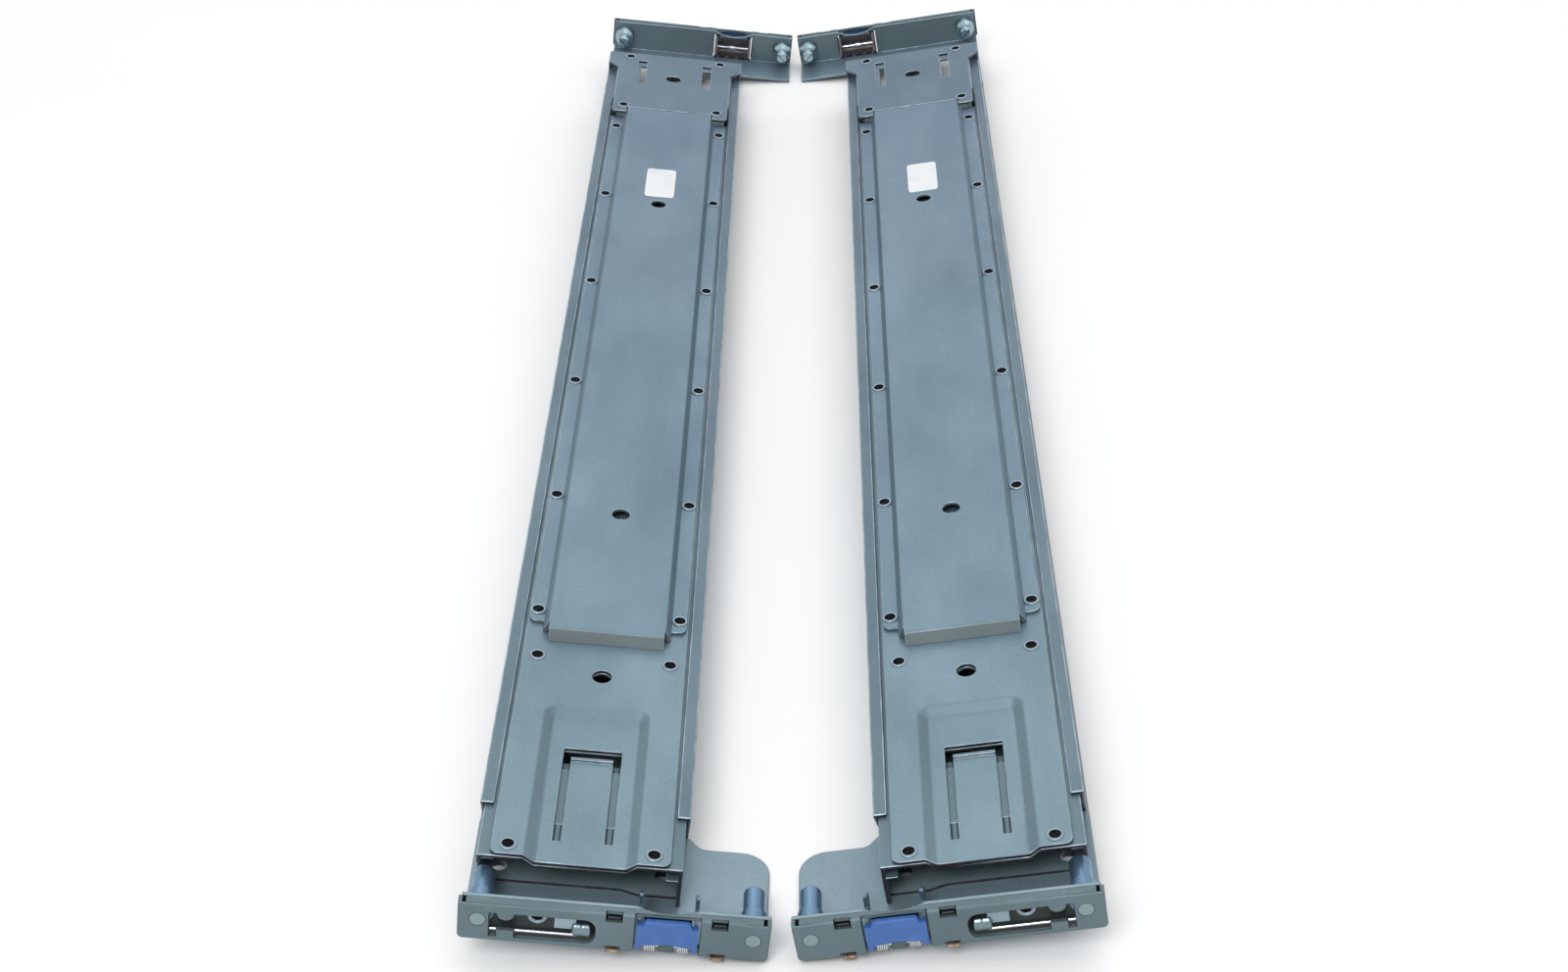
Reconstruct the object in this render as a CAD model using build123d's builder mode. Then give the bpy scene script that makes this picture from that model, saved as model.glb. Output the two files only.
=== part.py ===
from build123d import *
from math import atan2, cos, degrees, radians, sin
import os

# Pair of telescoping slide rails for a server in a rack, two rack units high.
# Each rail is drawn in its own frame: X across it towards the ear, Y from the
# front cover to the rear cover, Z outwards from the server to the rack's side.
# Z = 0 is the outer face of the front plate and X = 0 the middle of the pegs.

# Rack interface: pegs in the first and last of six holes, hooks in the fourth and fifth
peg_pitch = 76.2
unit_long_pitch = 15.875
unit_short_pitch = 12.7
post_span = 598.0
post_edge_to_hole = 7.6
peg_axis_z = -8.9

# Sheet thicknesses and running clearances
bracket_sheet = 1.5
rear_bracket_sheet = 1.3
body_sheet = 1.2
base_sheet_thickness = 1.0
sleeve_sheet = 1.1
cover_sheet = 1.2
running_gap = 0.2
stop_gap = 0.6

# End brackets and their covers
seat_setback = 4.5
flange_left = 43.6
flange_right = 42.7
plate_left_inset = 0.8
cover_top_z = -3.0
cover_bottom_z = -16.4
cover_rim_radius = 1.1
cover_corner_radius = 1.6
relief_width = 0.8
relief_height = 2.6
seat_top_drop = 0.2
scallop_radius = 17.0
scallop_depth = 2.4
rim_scallop_depth = 1.0
plate_depth = 48.0
ear_straight_y = 43.4
ear_corner_radius = 8.0
ear_shoulder = 4.0
ear_fillet_radius = 3.5
rear_ear_length = 18.5
drain_hole_radius = 2.2
drain_hole_left = (-35.0, 29.0)
drain_hole_right = (11.7, 30.0)

# Body section
body_left_inset = 0.8
sleeve_half_width = 30.3
lip_width = 4.0
lip_side_gap = 0.9
lip_front_y = 38.0
wall_foot_gap = 1.0
channel_front_y = 17.5
channel_rear_setback = 107.5
sleeve_web_setback = 102.5
body_rear_setback = 51.0
ledge_width = 3.4
ledge_drop = 3.0
ledge_sheet = 0.8
ledge_rear_y = 60.0

# Floor sheet with its stepped front edge
floor_front_left_y = 23.4
floor_front_right_y = 21.8
floor_step_x = (0.0, 5.0)
floor_corner_radius = 2.0

# Stamped trough and spring tongue of the front plate
trough_half_width = 16.0
trough_floor_half_width = 12.9
trough_depth = 2.4
trough_runout = 20.0
trough_end_y = 84.0
trough_corner_radius = 4.0
tongue_window_half_width = 8.6
tongue_half_width = 6.3
tongue_window_end_y = 67.0
tongue_end_y = 62.5
tongue_slot_front_y = 27.0
tongue_lip_length = 1.3
tongue_lip_rise = 0.8
lower_edge_y = 35.0
lower_window_front_y = 59.0
center_hole_radius = 3.0
front_hole_y = 99.0

# Raised stiffener panel
hat_inset = 0.6
hat_flange_width = 6.4
hat_rise = 3.0
hat_flank = 1.6
crown_front_y = 116.4
crown_foot_y = 114.2
flank_front_y = 118.6
hat_flange_front_y = 122.8
hat_rear_setback = 113.5
crown_overhang = 4.4
hat_end_rivet_y = 128.5
hat_end_pitch = 64.5
hat_last_rivet_inset = 9.5
hat_rivet_inset = 2.3
hat_front_hole_y = 180.6
hat_rear_hole_inset = 84.2
hat_corner_radius = 2.4

# Rivets
rivet_head_radius = 2.3
rivet_dimple_radius = 1.5
rivet_head_height = 0.5
rivet_dimple_depth = 0.35
front_rivet_ys = (21.4, 107.0)
front_rivet_inset = 4.8
rear_rivet_setbacks = (107.0, 55.5)

# Rear plate on the sleeve, with its places counted from the rear seat
widening_front_setback = 66.5
widening_length = 5.0
rear_slot_offset = 14.7
rear_slot_width = 3.9
rear_slot_length = 26.0
rear_slot_setback = 84.5
rear_hole_setback = 75.4
rear_wall_setback = 97.5
rear_wall_inset = 4.4
rear_skirt_sheet = 1.2
view_slot_length = 19.0

# Pegs
peg_tail_radius = 2.2
peg_foot_radius = 4.25
front_collar_radius = 3.7
front_collar_length = 5.2
front_peg_radius = 3.1
front_peg_reach = 15.1
rear_collar_radius = 4.2
rear_collar_length = 4.6
rear_peg_radius = 2.8
rear_peg_reach = 11.2
peg_tip_radius = 2.2
peg_tip_length = 1.2
peg_clearance = 1.2
peg_slot_width = 0.9
peg_slot_depth = 0.8

# Latch button, hook, hinge and springs
button_half_width = 8.6
button_top_half_width = 6.3
button_top_z = -4.5
button_shoulder_z = -6.2
button_bottom_z = -13.4
button_arch = 0.9
button_proud = 0.6
button_thin_back_y = 1.1
button_back_y = 2.0
button_step_z = -9.0
leg_width = 1.7
button_opening_gap = 0.45
hinge_z = -15.1
hinge_y = 2.3
hinge_pin_radius = 0.8
hinge_play = 0.05
knuckle_radius = 1.7
knuckle_half_width = 2.1
spring_radius = 1.7
spring_groove_radius = 1.35
spring_turns = 5
spring_offset = 4.6
spring_length = 3.8
hook_sheet = 1.0
hook_web_sheet = 0.8
hook_arm_reach = 17.0
hook_arm_top_z = -7.4
hook_arm_bottom_z = -12.6
hook_barb_z = -3.7
hook_barb_ys = (9.0, 13.5)
hook_rod_radius = 0.6
hook_rod_y = 3.2
hook_rod_z = -11.4
hook_clip_half_width = 1.4
hook_clip_wrap = 0.15
hook_slot_width = 2.6
hook_slot_top_z = -4.9
seat_opening_top_z = -8.6

# Long window of the cover, the parts seen in it and the small lug windows
window_left_x = -34.9
window_right_x = -5.6
window_top_z = -6.2
window_bottom_z = -14.8
window_end_radius = 3.2
window_tab_x = -30.4
window_tab_half_width = 2.5
window_tab_height = 2.6
lug_window_width = 4.4
lug_window_top_z = -3.0
lug_window_bottom_z = -5.8
lug_notch_height = 1.2
lug_xs = (-0.6, 28.6)
lug_sheet = 0.9
lug_side_gap = 0.4
lug_tip_y = 0.3
rod_radius = 0.7
rod_z = -13.6
rod_left_x = -38.0
barrel_radius = 2.4
barrel_z = -11.5
barrel_xs = (-11.3, -6.6)
stop_pad = (-17.0, -11.9, -11.0, -6.8)
stop_pad_height = 0.8
window_rivet = (-21.8, -8.4)

# Telescopic slide under the brackets, level with their left edge
slide_front_y = 46.0
slide_rear_setback = 42.5
outer_half_width = 14.0
outer_depth = 7.62
outer_sheet = 1.2
middle_sheet = 1.5
inner_sheet = 1.2
inner_proud = 0.6
ball_gap = 2.0
ball_radius = 1.3
ball_crown = 0.6
groove_radius = 1.45
ball_z = -23.5
web_gap = 0.5
inner_top_gap = 0.7
cage_sheet = 0.3
cage_side_sheet = 0.7
cage_foot = 1.8
cage_front_y = 198.0
cage_length = 210.0
ball_rows = 3
stud_radius = 4.5
stud_count = 4
first_stud_y = 62.0
last_stud_inset = 15.0
support_slot_half_width = 6.0

# Pose of the pair on its support
rail_offset_x = 44.6
rail_splay = 0.15

# Levels and places that follow from the sizes above
overall_length = post_span + 2 * seat_setback
seat_front_y = seat_setback - bracket_sheet
plate_left = plate_left_inset - flange_left
plate_top_z = peg_axis_z - post_edge_to_hole
plate_bottom_z = plate_top_z - bracket_sheet
seat_top_z = cover_top_z - seat_top_drop
rear_seat_y = overall_length - seat_setback
rear_plate_bottom_z = plate_top_z - rear_bracket_sheet
wall_foot_y = plate_depth + wall_foot_gap
sleeve_web_top_z = plate_top_z - running_gap
sleeve_web_bottom_z = sleeve_web_top_z - sleeve_sheet
floor_top_z = plate_top_z + base_sheet_thickness
sleeve_inner_half = sleeve_half_width - sleeve_sheet
channel_half_width = sleeve_inner_half - running_gap
channel_top_z = -body_sheet
channel_web_z = channel_top_z - body_sheet
lip_bottom_z = channel_top_z + running_gap
lip_top_z = lip_bottom_z + sleeve_sheet
crown_top_z = body_sheet + hat_rise
crown_bottom_z = crown_top_z - body_sheet
body_left = plate_left + body_left_inset
body_center_x = body_left + sleeve_half_width
body_right = body_center_x + sleeve_half_width
front_plate_half_width = sleeve_half_width - lip_width - lip_side_gap
hat_half_width = front_plate_half_width - hat_inset
crown_half_width = hat_half_width - hat_flange_width
hat_rivet_offset = hat_half_width - hat_rivet_inset
rivet_offset = front_plate_half_width - front_rivet_inset
channel_rear_y = rear_seat_y - channel_rear_setback
sleeve_web_rear_y = rear_seat_y - sleeve_web_setback
body_rear_y = rear_seat_y - body_rear_setback
rear_ear_front_y = rear_seat_y - rear_ear_length
hat_rear_y = rear_seat_y - hat_rear_setback
crown_rear_y = hat_rear_y + crown_overhang
hat_hole_ys = (hat_front_hole_y, hat_rear_y - hat_rear_hole_inset)
hat_last_rivet_y = hat_rear_y - hat_last_rivet_inset
hat_mid_pitch = (hat_last_rivet_y - hat_end_rivet_y - 2 * hat_end_pitch) / 3
rear_plate_front_y = hat_rear_y + stop_gap
widening_front_y = rear_seat_y - widening_front_setback
widening_rear_y = widening_front_y + widening_length
rear_slot_front_y = rear_seat_y - rear_slot_setback
rear_hole_y = rear_seat_y - rear_hole_setback
rear_wall_front_y = rear_seat_y - rear_wall_setback
rear_wall_offset = sleeve_half_width - rear_wall_inset
slide_top_z = plate_bottom_z
slide_center_x = plate_left + outer_half_width
slide_rear_y = rear_seat_y - slide_rear_setback
slide_bottom_z = slide_top_z - outer_depth
inner_face_z = slide_bottom_z - inner_proud
outer_web_z = slide_top_z - outer_sheet
middle_web_top_z = outer_web_z - web_gap
middle_web_z = middle_web_top_z - middle_sheet
inner_top_z = middle_web_z - inner_top_gap
outer_inner_half = outer_half_width - outer_sheet
middle_half_width = outer_inner_half - ball_gap
middle_inner_half = middle_half_width - middle_sheet
inner_half_width = middle_inner_half - ball_gap
outer_ball_offset = outer_inner_half - ball_gap / 2
inner_ball_offset = inner_half_width + ball_gap / 2
last_stud_y = channel_rear_y - last_stud_inset
stud_pitch = (last_stud_y - first_stud_y) / (stud_count - 1)
first_hook_x = unit_short_pitch / 2
second_hook_x = first_hook_x + unit_long_pitch
latch_x = (first_hook_x + second_hook_x) / 2
hook_offset = unit_long_pitch / 2
opening_half_width = button_half_width + button_opening_gap
upper_lug_z = cover_top_z - cover_sheet - running_gap / 2
cover_depth = seat_front_y
mid_plane = Plane.XZ.offset(-overall_length / 2)
roll = degrees(atan2(outer_depth, flange_right - (slide_center_x + outer_half_width)))
lift = flange_right * sin(radians(roll)) - plate_bottom_z * cos(radians(roll))


def section(y):
    """Plane across the rail at y, with sketch axes X and Z."""
    return Plane(origin=(0, y, 0), x_dir=(1, 0, 0), z_dir=(0, -1, 0))


def side_view(x):
    """Plane along the rail at x, with sketch axes Y and Z."""
    return Plane(origin=(x, 0, 0), x_dir=(0, 1, 0), z_dir=(1, 0, 0))


def area(a0, a1, b0, b1, mode=Mode.ADD):
    """Rectangle of a sketch between two opposite corners."""
    with Locations(((a0 + a1) / 2, (b0 + b1) / 2)):
        Rectangle(abs(a1 - a0), abs(b1 - b0), mode=mode)


def around_center(half, b0, b1, mode=Mode.ADD):
    """Rectangle of a sketch that is centred on the body."""
    area(body_center_x - half, body_center_x + half, b0, b1, mode)


def around_slide(half, b0, b1, mode=Mode.ADD):
    """Rectangle of a sketch that is centred on the slide."""
    area(slide_center_x - half, slide_center_x + half, b0, b1, mode)


def both_sides(offset):
    """X values at one offset either side of the body's centre line."""
    return (body_center_x - offset, body_center_x + offset)


def ball_grooves(offset):
    """Cut the round ball grooves at one offset either side of the slide's centre line."""
    with Locations((slide_center_x - offset, ball_z), (slide_center_x + offset, ball_z)):
        Circle(groove_radius, mode=Mode.SUBTRACT)


# Front bracket: side plate with a rounded ear and the seat bent up from it
with BuildPart() as front_bracket:
    with BuildSketch(Plane.XY.offset(plate_bottom_z)):
        with BuildLine():
            Polyline(
                (plate_left, seat_front_y),
                (plate_left, plate_depth),
                (body_right, plate_depth),
                (body_right + ear_shoulder, ear_straight_y),
                (flange_right, ear_straight_y),
                (flange_right, seat_front_y),
                close=True,
            )
        make_face()
        ear_tip = vertices().sort_by(lambda v: v.X + v.Y)[-1]
        fillet(ear_tip, radius=ear_corner_radius)
        waist = vertices().sort_by_distance((body_right + ear_shoulder, ear_straight_y))[0]
        fillet(waist, radius=ear_fillet_radius)
        with Locations(drain_hole_left, drain_hole_right):
            Circle(drain_hole_radius, mode=Mode.SUBTRACT)
        for lug_x in lug_xs:
            area(lug_x - lug_window_width / 2 + lug_side_gap, lug_x + lug_window_width / 2 - lug_side_gap,
                 lug_tip_y, seat_front_y + 1)
    extrude(amount=bracket_sheet)
    with BuildSketch(section(seat_front_y)):
        area(plate_left, flange_right, plate_bottom_z, seat_top_z)
        with Locations((latch_x, seat_top_z - scallop_depth + scallop_radius)):
            Circle(scallop_radius, mode=Mode.SUBTRACT)
        with Locations((-peg_pitch / 2, peg_axis_z), (peg_pitch / 2, peg_axis_z)):
            Circle(peg_foot_radius, mode=Mode.SUBTRACT)
        area(latch_x - hook_offset, latch_x + hook_offset,
             plate_bottom_z - 1, seat_opening_top_z, Mode.SUBTRACT)
        for arm_x in (first_hook_x, second_hook_x):
            area(arm_x - hook_slot_width / 2, arm_x + hook_slot_width / 2,
                 plate_bottom_z - 1, hook_slot_top_z, Mode.SUBTRACT)
    extrude(amount=-bracket_sheet)
    with BuildSketch(section(seat_front_y - 1)):
        area(latch_x - opening_half_width, latch_x + opening_half_width, plate_bottom_z - 1, plate_top_z + 1)
    extrude(amount=-(bracket_sheet + 1.1), mode=Mode.SUBTRACT)
    with BuildSketch(side_view(latch_x - knuckle_half_width)):
        with Locations((hinge_y, hinge_z)):
            Circle(knuckle_radius)
        area(hinge_y, seat_setback + 1, plate_bottom_z, plate_top_z)
    extrude(amount=2 * knuckle_half_width)
    with BuildSketch(side_view(latch_x - knuckle_half_width - 1)):
        with Locations((hinge_y, hinge_z)):
            Circle(hinge_pin_radius)
    extrude(amount=2 * knuckle_half_width + 2, mode=Mode.SUBTRACT)
    with BuildSketch(section(lug_tip_y)):
        for lug_x in lug_xs:
            area(lug_x - lug_window_width / 2 + lug_side_gap, lug_x + lug_window_width / 2 - lug_side_gap,
                 upper_lug_z - lug_sheet, upper_lug_z)
    extrude(amount=-(seat_front_y - lug_tip_y))
    with BuildSketch(section(seat_front_y - stop_pad_height)):
        area(*stop_pad)
    extrude(amount=-stop_pad_height)

# Front cover: shallow tray in front of the seat, open below
with BuildPart() as front_cover:
    with BuildSketch(section(0)):
        area(-flange_left, flange_right, cover_bottom_z, cover_top_z)
        fillet(vertices().group_by(Axis.Y)[0], radius=cover_corner_radius)
    extrude(amount=-cover_depth)
    top_rim = edges().filter_by(Axis.X).group_by(Axis.Y)[0].sort_by(Axis.Z)[-1]
    fillet(top_rim, radius=cover_rim_radius)
    with BuildSketch(section(cover_sheet)):
        area(cover_sheet - flange_left, flange_right - cover_sheet,
             cover_bottom_z - 1, cover_top_z - cover_sheet)
    extrude(amount=-cover_depth, mode=Mode.SUBTRACT)
    with BuildSketch(section(cover_sheet / 2)):
        area(cover_sheet - flange_left, cover_sheet - flange_left + relief_width,
             cover_top_z - relief_height, cover_top_z + 1)
        area(flange_right - cover_sheet - relief_width, flange_right - cover_sheet,
             cover_top_z - relief_height, cover_top_z + 1)
    extrude(amount=-cover_depth, mode=Mode.SUBTRACT)
    with BuildSketch(Plane.XY.offset(cover_top_z - 2 * cover_sheet)):
        with Locations((latch_x, cover_depth - rim_scallop_depth + scallop_radius)):
            Circle(scallop_radius)
    extrude(amount=3 * cover_sheet, mode=Mode.SUBTRACT)
    with BuildSketch(section(-1)):
        area(latch_x - opening_half_width, latch_x + opening_half_width, cover_bottom_z - 1, cover_top_z + 1)
        area(window_left_x, window_right_x, window_bottom_z, window_top_z)
        for lug_x in lug_xs:
            area(lug_x - lug_window_width / 2, lug_x + lug_window_width / 2,
                 lug_window_bottom_z, lug_window_top_z)
            area(lug_x - lug_window_width / 2, lug_x + lug_window_width / 2,
                 cover_bottom_z - 1, cover_bottom_z + lug_notch_height)
        with Locations((-peg_pitch / 2, peg_axis_z), (peg_pitch / 2, peg_axis_z)):
            Circle(peg_tail_radius)
    extrude(amount=-(cover_sheet + 1), mode=Mode.SUBTRACT)
    window_end = edges().filter_by(Axis.Y).filter_by(lambda e: abs(e.center().X - window_right_x) < 0.01)
    fillet(window_end, radius=window_end_radius)
    with BuildSketch(section(0)):
        with Locations((window_tab_x, window_top_z)):
            Circle(window_tab_half_width)
        area(window_tab_x - window_tab_half_width - 1, window_tab_x + window_tab_half_width + 1,
             window_top_z, window_top_z + window_tab_half_width + 1, Mode.SUBTRACT)
        area(window_tab_x - window_tab_half_width, window_tab_x + window_tab_half_width,
             window_bottom_z, window_bottom_z + window_tab_height)
    extrude(amount=-cover_sheet)


def peg_pair(base_y, toward, collar, shank, reach):
    """Two turned pegs on the rack pitch, each with its foot pressed into the seat.

    collar is a radius and a length, shank a radius, toward the sign of Y.
    """
    for peg_x in (-peg_pitch / 2, peg_pitch / 2):
        with BuildSketch(Plane.XY.offset(peg_axis_z)) as profile:
            with BuildLine():
                Polyline(
                    (peg_x, base_y - toward * seat_setback),
                    (peg_x + peg_tail_radius, base_y - toward * seat_setback),
                    (peg_x + peg_tail_radius, base_y - toward * bracket_sheet),
                    (peg_x + peg_foot_radius, base_y - toward * bracket_sheet),
                    (peg_x + peg_foot_radius, base_y),
                    (peg_x + collar[0], base_y),
                    (peg_x + collar[0], base_y + toward * collar[1]),
                    (peg_x + shank, base_y + toward * (collar[1] + collar[0] - shank)),
                    (peg_x + shank, base_y + toward * (reach - peg_tip_length)),
                    (peg_x + peg_tip_radius, base_y + toward * reach),
                    (peg_x, base_y + toward * reach),
                    close=True,
                )
            make_face()
        revolve(profile.sketch, axis=Axis((peg_x, 0, peg_axis_z), (0, 1, 0)))


# Front pegs, plain with a collar
with BuildPart() as front_pegs:
    peg_pair(seat_setback, 1, (front_collar_radius, front_collar_length), front_peg_radius, front_peg_reach)

# Rear pegs, with a wider collar and a slotted tip
with BuildPart() as rear_pegs:
    peg_pair(rear_seat_y, -1, (rear_collar_radius, rear_collar_length), rear_peg_radius, rear_peg_reach)
    for slot_x in (-peg_pitch / 2, peg_pitch / 2):
        with Locations(Location((slot_x, rear_seat_y - rear_peg_reach, peg_axis_z), (0, 45, 0))):
            Box(2 * peg_tip_radius + 3, 2 * peg_slot_depth, peg_slot_width, mode=Mode.SUBTRACT)


def trough(z_top, mode):
    """Tapered block of the stamped trough, running out past the front edge."""
    slope = degrees(atan2(trough_half_width - trough_floor_half_width, trough_depth))
    with BuildSketch(Plane.XY.offset(z_top)) as outline:
        around_center(trough_half_width, channel_front_y - trough_runout, trough_end_y)
        fillet(outline.vertices().group_by(Axis.Y)[-1], radius=trough_corner_radius)
    extrude(outline.sketch, amount=-trough_depth, taper=slope, mode=mode)


def front_cut():
    """Trim everything in front of the plate's front edge."""
    split(bisect_by=Plane.XZ.offset(-channel_front_y), keep=Keep.BOTTOM)


# Front plate: outer sheet with trough, spring tongue and sight holes
with BuildPart() as front_plate:
    with BuildSketch(Plane.XY.offset(-body_sheet)):
        around_center(front_plate_half_width, channel_front_y, hat_rear_y)
        fillet(vertices().group_by(Axis.Y)[0], radius=hat_corner_radius)
    extrude(amount=body_sheet)
    trough(-body_sheet, Mode.ADD)
    trough(0.0, Mode.SUBTRACT)
    front_cut()
    with BuildSketch(Plane.XY.offset(-trough_depth - body_sheet - 0.1)):
        around_center(tongue_window_half_width, tongue_slot_front_y, tongue_window_end_y)
        around_center(tongue_half_width, tongue_slot_front_y - 1, tongue_end_y, Mode.SUBTRACT)
    extrude(amount=body_sheet + 0.2, mode=Mode.SUBTRACT)
    with BuildSketch(Plane.XY.offset(-trough_depth)):
        around_center(tongue_half_width, tongue_end_y - tongue_lip_length, tongue_end_y)
    extrude(amount=tongue_lip_rise)
    with BuildSketch(Plane.XY.offset(-body_sheet)):
        with Locations(*[(body_center_x, y) for y in (front_hole_y, *hat_hole_ys)]):
            Circle(center_hole_radius)
    extrude(amount=body_sheet, mode=Mode.SUBTRACT)

# Front channel: deep channel under the front plate, with the same trough
with BuildPart() as front_channel:
    with BuildSketch(section(channel_front_y)):
        around_center(channel_half_width, floor_top_z, channel_top_z)
        around_center(channel_half_width - body_sheet, floor_top_z - 1, channel_web_z, Mode.SUBTRACT)
    extrude(amount=-(channel_rear_y - channel_front_y))
    with BuildSketch(section(channel_front_y)):
        for side in (-1, 1):
            inner_x = body_center_x + side * (channel_half_width - body_sheet)
            area(inner_x, inner_x - side * ledge_width,
                 channel_web_z - ledge_drop - ledge_sheet, channel_web_z - ledge_drop)
    extrude(amount=-(ledge_rear_y - channel_front_y))
    trough(channel_web_z, Mode.ADD)
    trough(channel_top_z, Mode.SUBTRACT)
    front_cut()
    with BuildSketch(Plane.XY.offset(channel_web_z - trough_depth - 0.1)):
        around_center(tongue_window_half_width, tongue_slot_front_y, lower_edge_y)
        around_center(tongue_window_half_width, lower_window_front_y, tongue_window_end_y)
    extrude(amount=body_sheet + 0.2, mode=Mode.SUBTRACT)
    with BuildSketch(Plane.XY.offset(channel_web_z)):
        with Locations(*[(body_center_x, y) for y in (front_hole_y, *hat_hole_ys)]):
            Circle(center_hole_radius)
    extrude(amount=body_sheet, mode=Mode.SUBTRACT)
    with BuildSketch(side_view(body_center_x - channel_half_width - 1)):
        area(channel_front_y - 1, seat_setback + front_peg_reach + peg_clearance,
             plate_top_z, peg_axis_z + front_peg_radius + peg_clearance)
    extrude(amount=front_peg_radius + flange_left - peg_pitch / 2 + peg_clearance, mode=Mode.SUBTRACT)

# Base sheet: flat floor of the front channel, lying on the bracket's plate
with BuildPart() as base_sheet:
    with BuildSketch(Plane.XY.offset(plate_top_z)):
        with BuildLine():
            Polyline(
                (body_center_x - channel_half_width, floor_front_left_y),
                (floor_step_x[0], floor_front_left_y),
                (floor_step_x[1], floor_front_right_y),
                (body_center_x + channel_half_width, floor_front_right_y),
                (body_center_x + channel_half_width, channel_rear_y),
                (body_center_x - channel_half_width, channel_rear_y),
                close=True,
            )
        make_face()
        fillet(vertices().sort_by(lambda v: v.Y - v.X)[0], radius=floor_corner_radius)
        with Locations(drain_hole_left, drain_hole_right):
            Circle(drain_hole_radius, mode=Mode.SUBTRACT)
    extrude(amount=base_sheet_thickness)

# Stiffener: raised panel with side flanges, its crown bent down at the front
with BuildPart() as hat_stiffener:
    with BuildSketch(section(flank_front_y)):
        with BuildLine():
            Polyline(
                *[(body_center_x + x, z) for x, z in (
                    (-crown_half_width - hat_flank, 0),
                    (-crown_half_width - hat_flank, body_sheet),
                    (-crown_half_width, crown_top_z),
                    (crown_half_width, crown_top_z),
                    (crown_half_width + hat_flank, body_sheet),
                    (crown_half_width + hat_flank, 0),
                    (crown_half_width + hat_flank - body_sheet, 0),
                    (crown_half_width - body_sheet, crown_bottom_z),
                    (body_sheet - crown_half_width, crown_bottom_z),
                    (body_sheet - crown_half_width - hat_flank, 0),
                )],
                close=True,
            )
        make_face()
    extrude(amount=-(hat_rear_y - flank_front_y))
    with BuildSketch(Plane.XY):
        for side in (-1, 1):
            flange_inner_x = body_center_x + side * (crown_half_width + hat_flank - 0.2)
            area(flange_inner_x, body_center_x + side * hat_half_width, hat_flange_front_y, hat_rear_y)
        outer_front = vertices().filter_by(
            lambda v: abs(abs(v.X - body_center_x) - hat_half_width) < 0.01 and v.Y < hat_flange_front_y + 1)
        fillet(outer_front, radius=hat_corner_radius)
    extrude(amount=body_sheet)
    with BuildSketch(side_view(body_center_x - crown_half_width + 0.3)):
        with BuildLine():
            Polyline(
                (crown_foot_y, 0),
                (crown_front_y - 0.5, crown_top_z - 0.4),
                (crown_front_y, crown_top_z),
                (flank_front_y + 1, crown_top_z),
                (flank_front_y + 1, crown_bottom_z),
                (crown_front_y + body_sheet - 0.5, crown_bottom_z),
                (crown_foot_y + body_sheet, 0),
                close=True,
            )
        make_face()
    extrude(amount=2 * crown_half_width - 0.6)
    with BuildSketch(Plane.XY.offset(crown_bottom_z)):
        around_center(crown_half_width, hat_rear_y - 1, crown_rear_y)
    extrude(amount=body_sheet)
    with BuildSketch(Plane.XY.offset(crown_bottom_z - 1)):
        with Locations(*[(body_center_x, y) for y in hat_hole_ys]):
            Circle(center_hole_radius)
    extrude(amount=body_sheet + 2, mode=Mode.SUBTRACT)


def rivet_heads(level, points):
    """Flat rivet heads with a dimple, standing on a sheet at one level."""
    for x, y in points:
        with BuildSketch(Plane(origin=(x, y, level), x_dir=(1, 0, 0), z_dir=(0, -1, 0))) as profile:
            with BuildLine():
                Polyline(
                    (0, 0),
                    (rivet_head_radius, 0),
                    (rivet_head_radius, rivet_head_height),
                    (rivet_dimple_radius, rivet_head_height),
                    (0, rivet_head_height - rivet_dimple_depth),
                    close=True,
                )
            make_face()
        revolve(profile.sketch, axis=Axis((x, y, level), (0, 0, 1)))


# Rivets of the front group, on the plate and on the stiffener's flanges
with BuildPart() as front_rivets:
    mid_rivet_ys = [hat_end_rivet_y + hat_end_pitch + row * hat_mid_pitch for row in range(4)]
    hat_rivet_ys = [hat_end_rivet_y, *mid_rivet_ys, hat_last_rivet_y]
    rivet_heads(0.0, [(x, y) for x in both_sides(rivet_offset) for y in front_rivet_ys])
    rivet_heads(body_sheet, [(x, y) for x in both_sides(hat_rivet_offset) for y in hat_rivet_ys])

# Rivets of the rear plate
with BuildPart() as rear_rivets:
    rear_rivet_ys = [rear_seat_y - setback for setback in rear_rivet_setbacks]
    rivet_heads(crown_top_z, [(x, y) for x in both_sides(rivet_offset) for y in rear_rivet_ys])

# Lock rod: half round barrel on the seat with its long thin rod
with BuildPart() as lock_rod:
    with BuildSketch(side_view(barrel_xs[0])):
        with Locations((seat_front_y, barrel_z)):
            Circle(barrel_radius)
        area(seat_front_y, seat_front_y + barrel_radius + 1,
             barrel_z - barrel_radius - 1, barrel_z + barrel_radius + 1, Mode.SUBTRACT)
    extrude(amount=barrel_xs[1] - barrel_xs[0])
    with BuildSketch(side_view(rod_left_x)):
        with Locations(((cover_sheet + seat_front_y) / 2, rod_z)):
            Circle(rod_radius)
    extrude(amount=barrel_xs[0] + 1 - rod_left_x)
    with BuildSketch(section(seat_front_y - stop_pad_height)):
        with Locations(window_rivet):
            Circle(rivet_head_radius)
    extrude(amount=-stop_pad_height)

# Hinge pin of the latch
with BuildPart() as front_hinge_pin:
    with BuildSketch(side_view(latch_x - button_half_width)):
        with Locations((hinge_y, hinge_z)):
            Circle(hinge_pin_radius)
    extrude(amount=2 * button_half_width)

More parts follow.
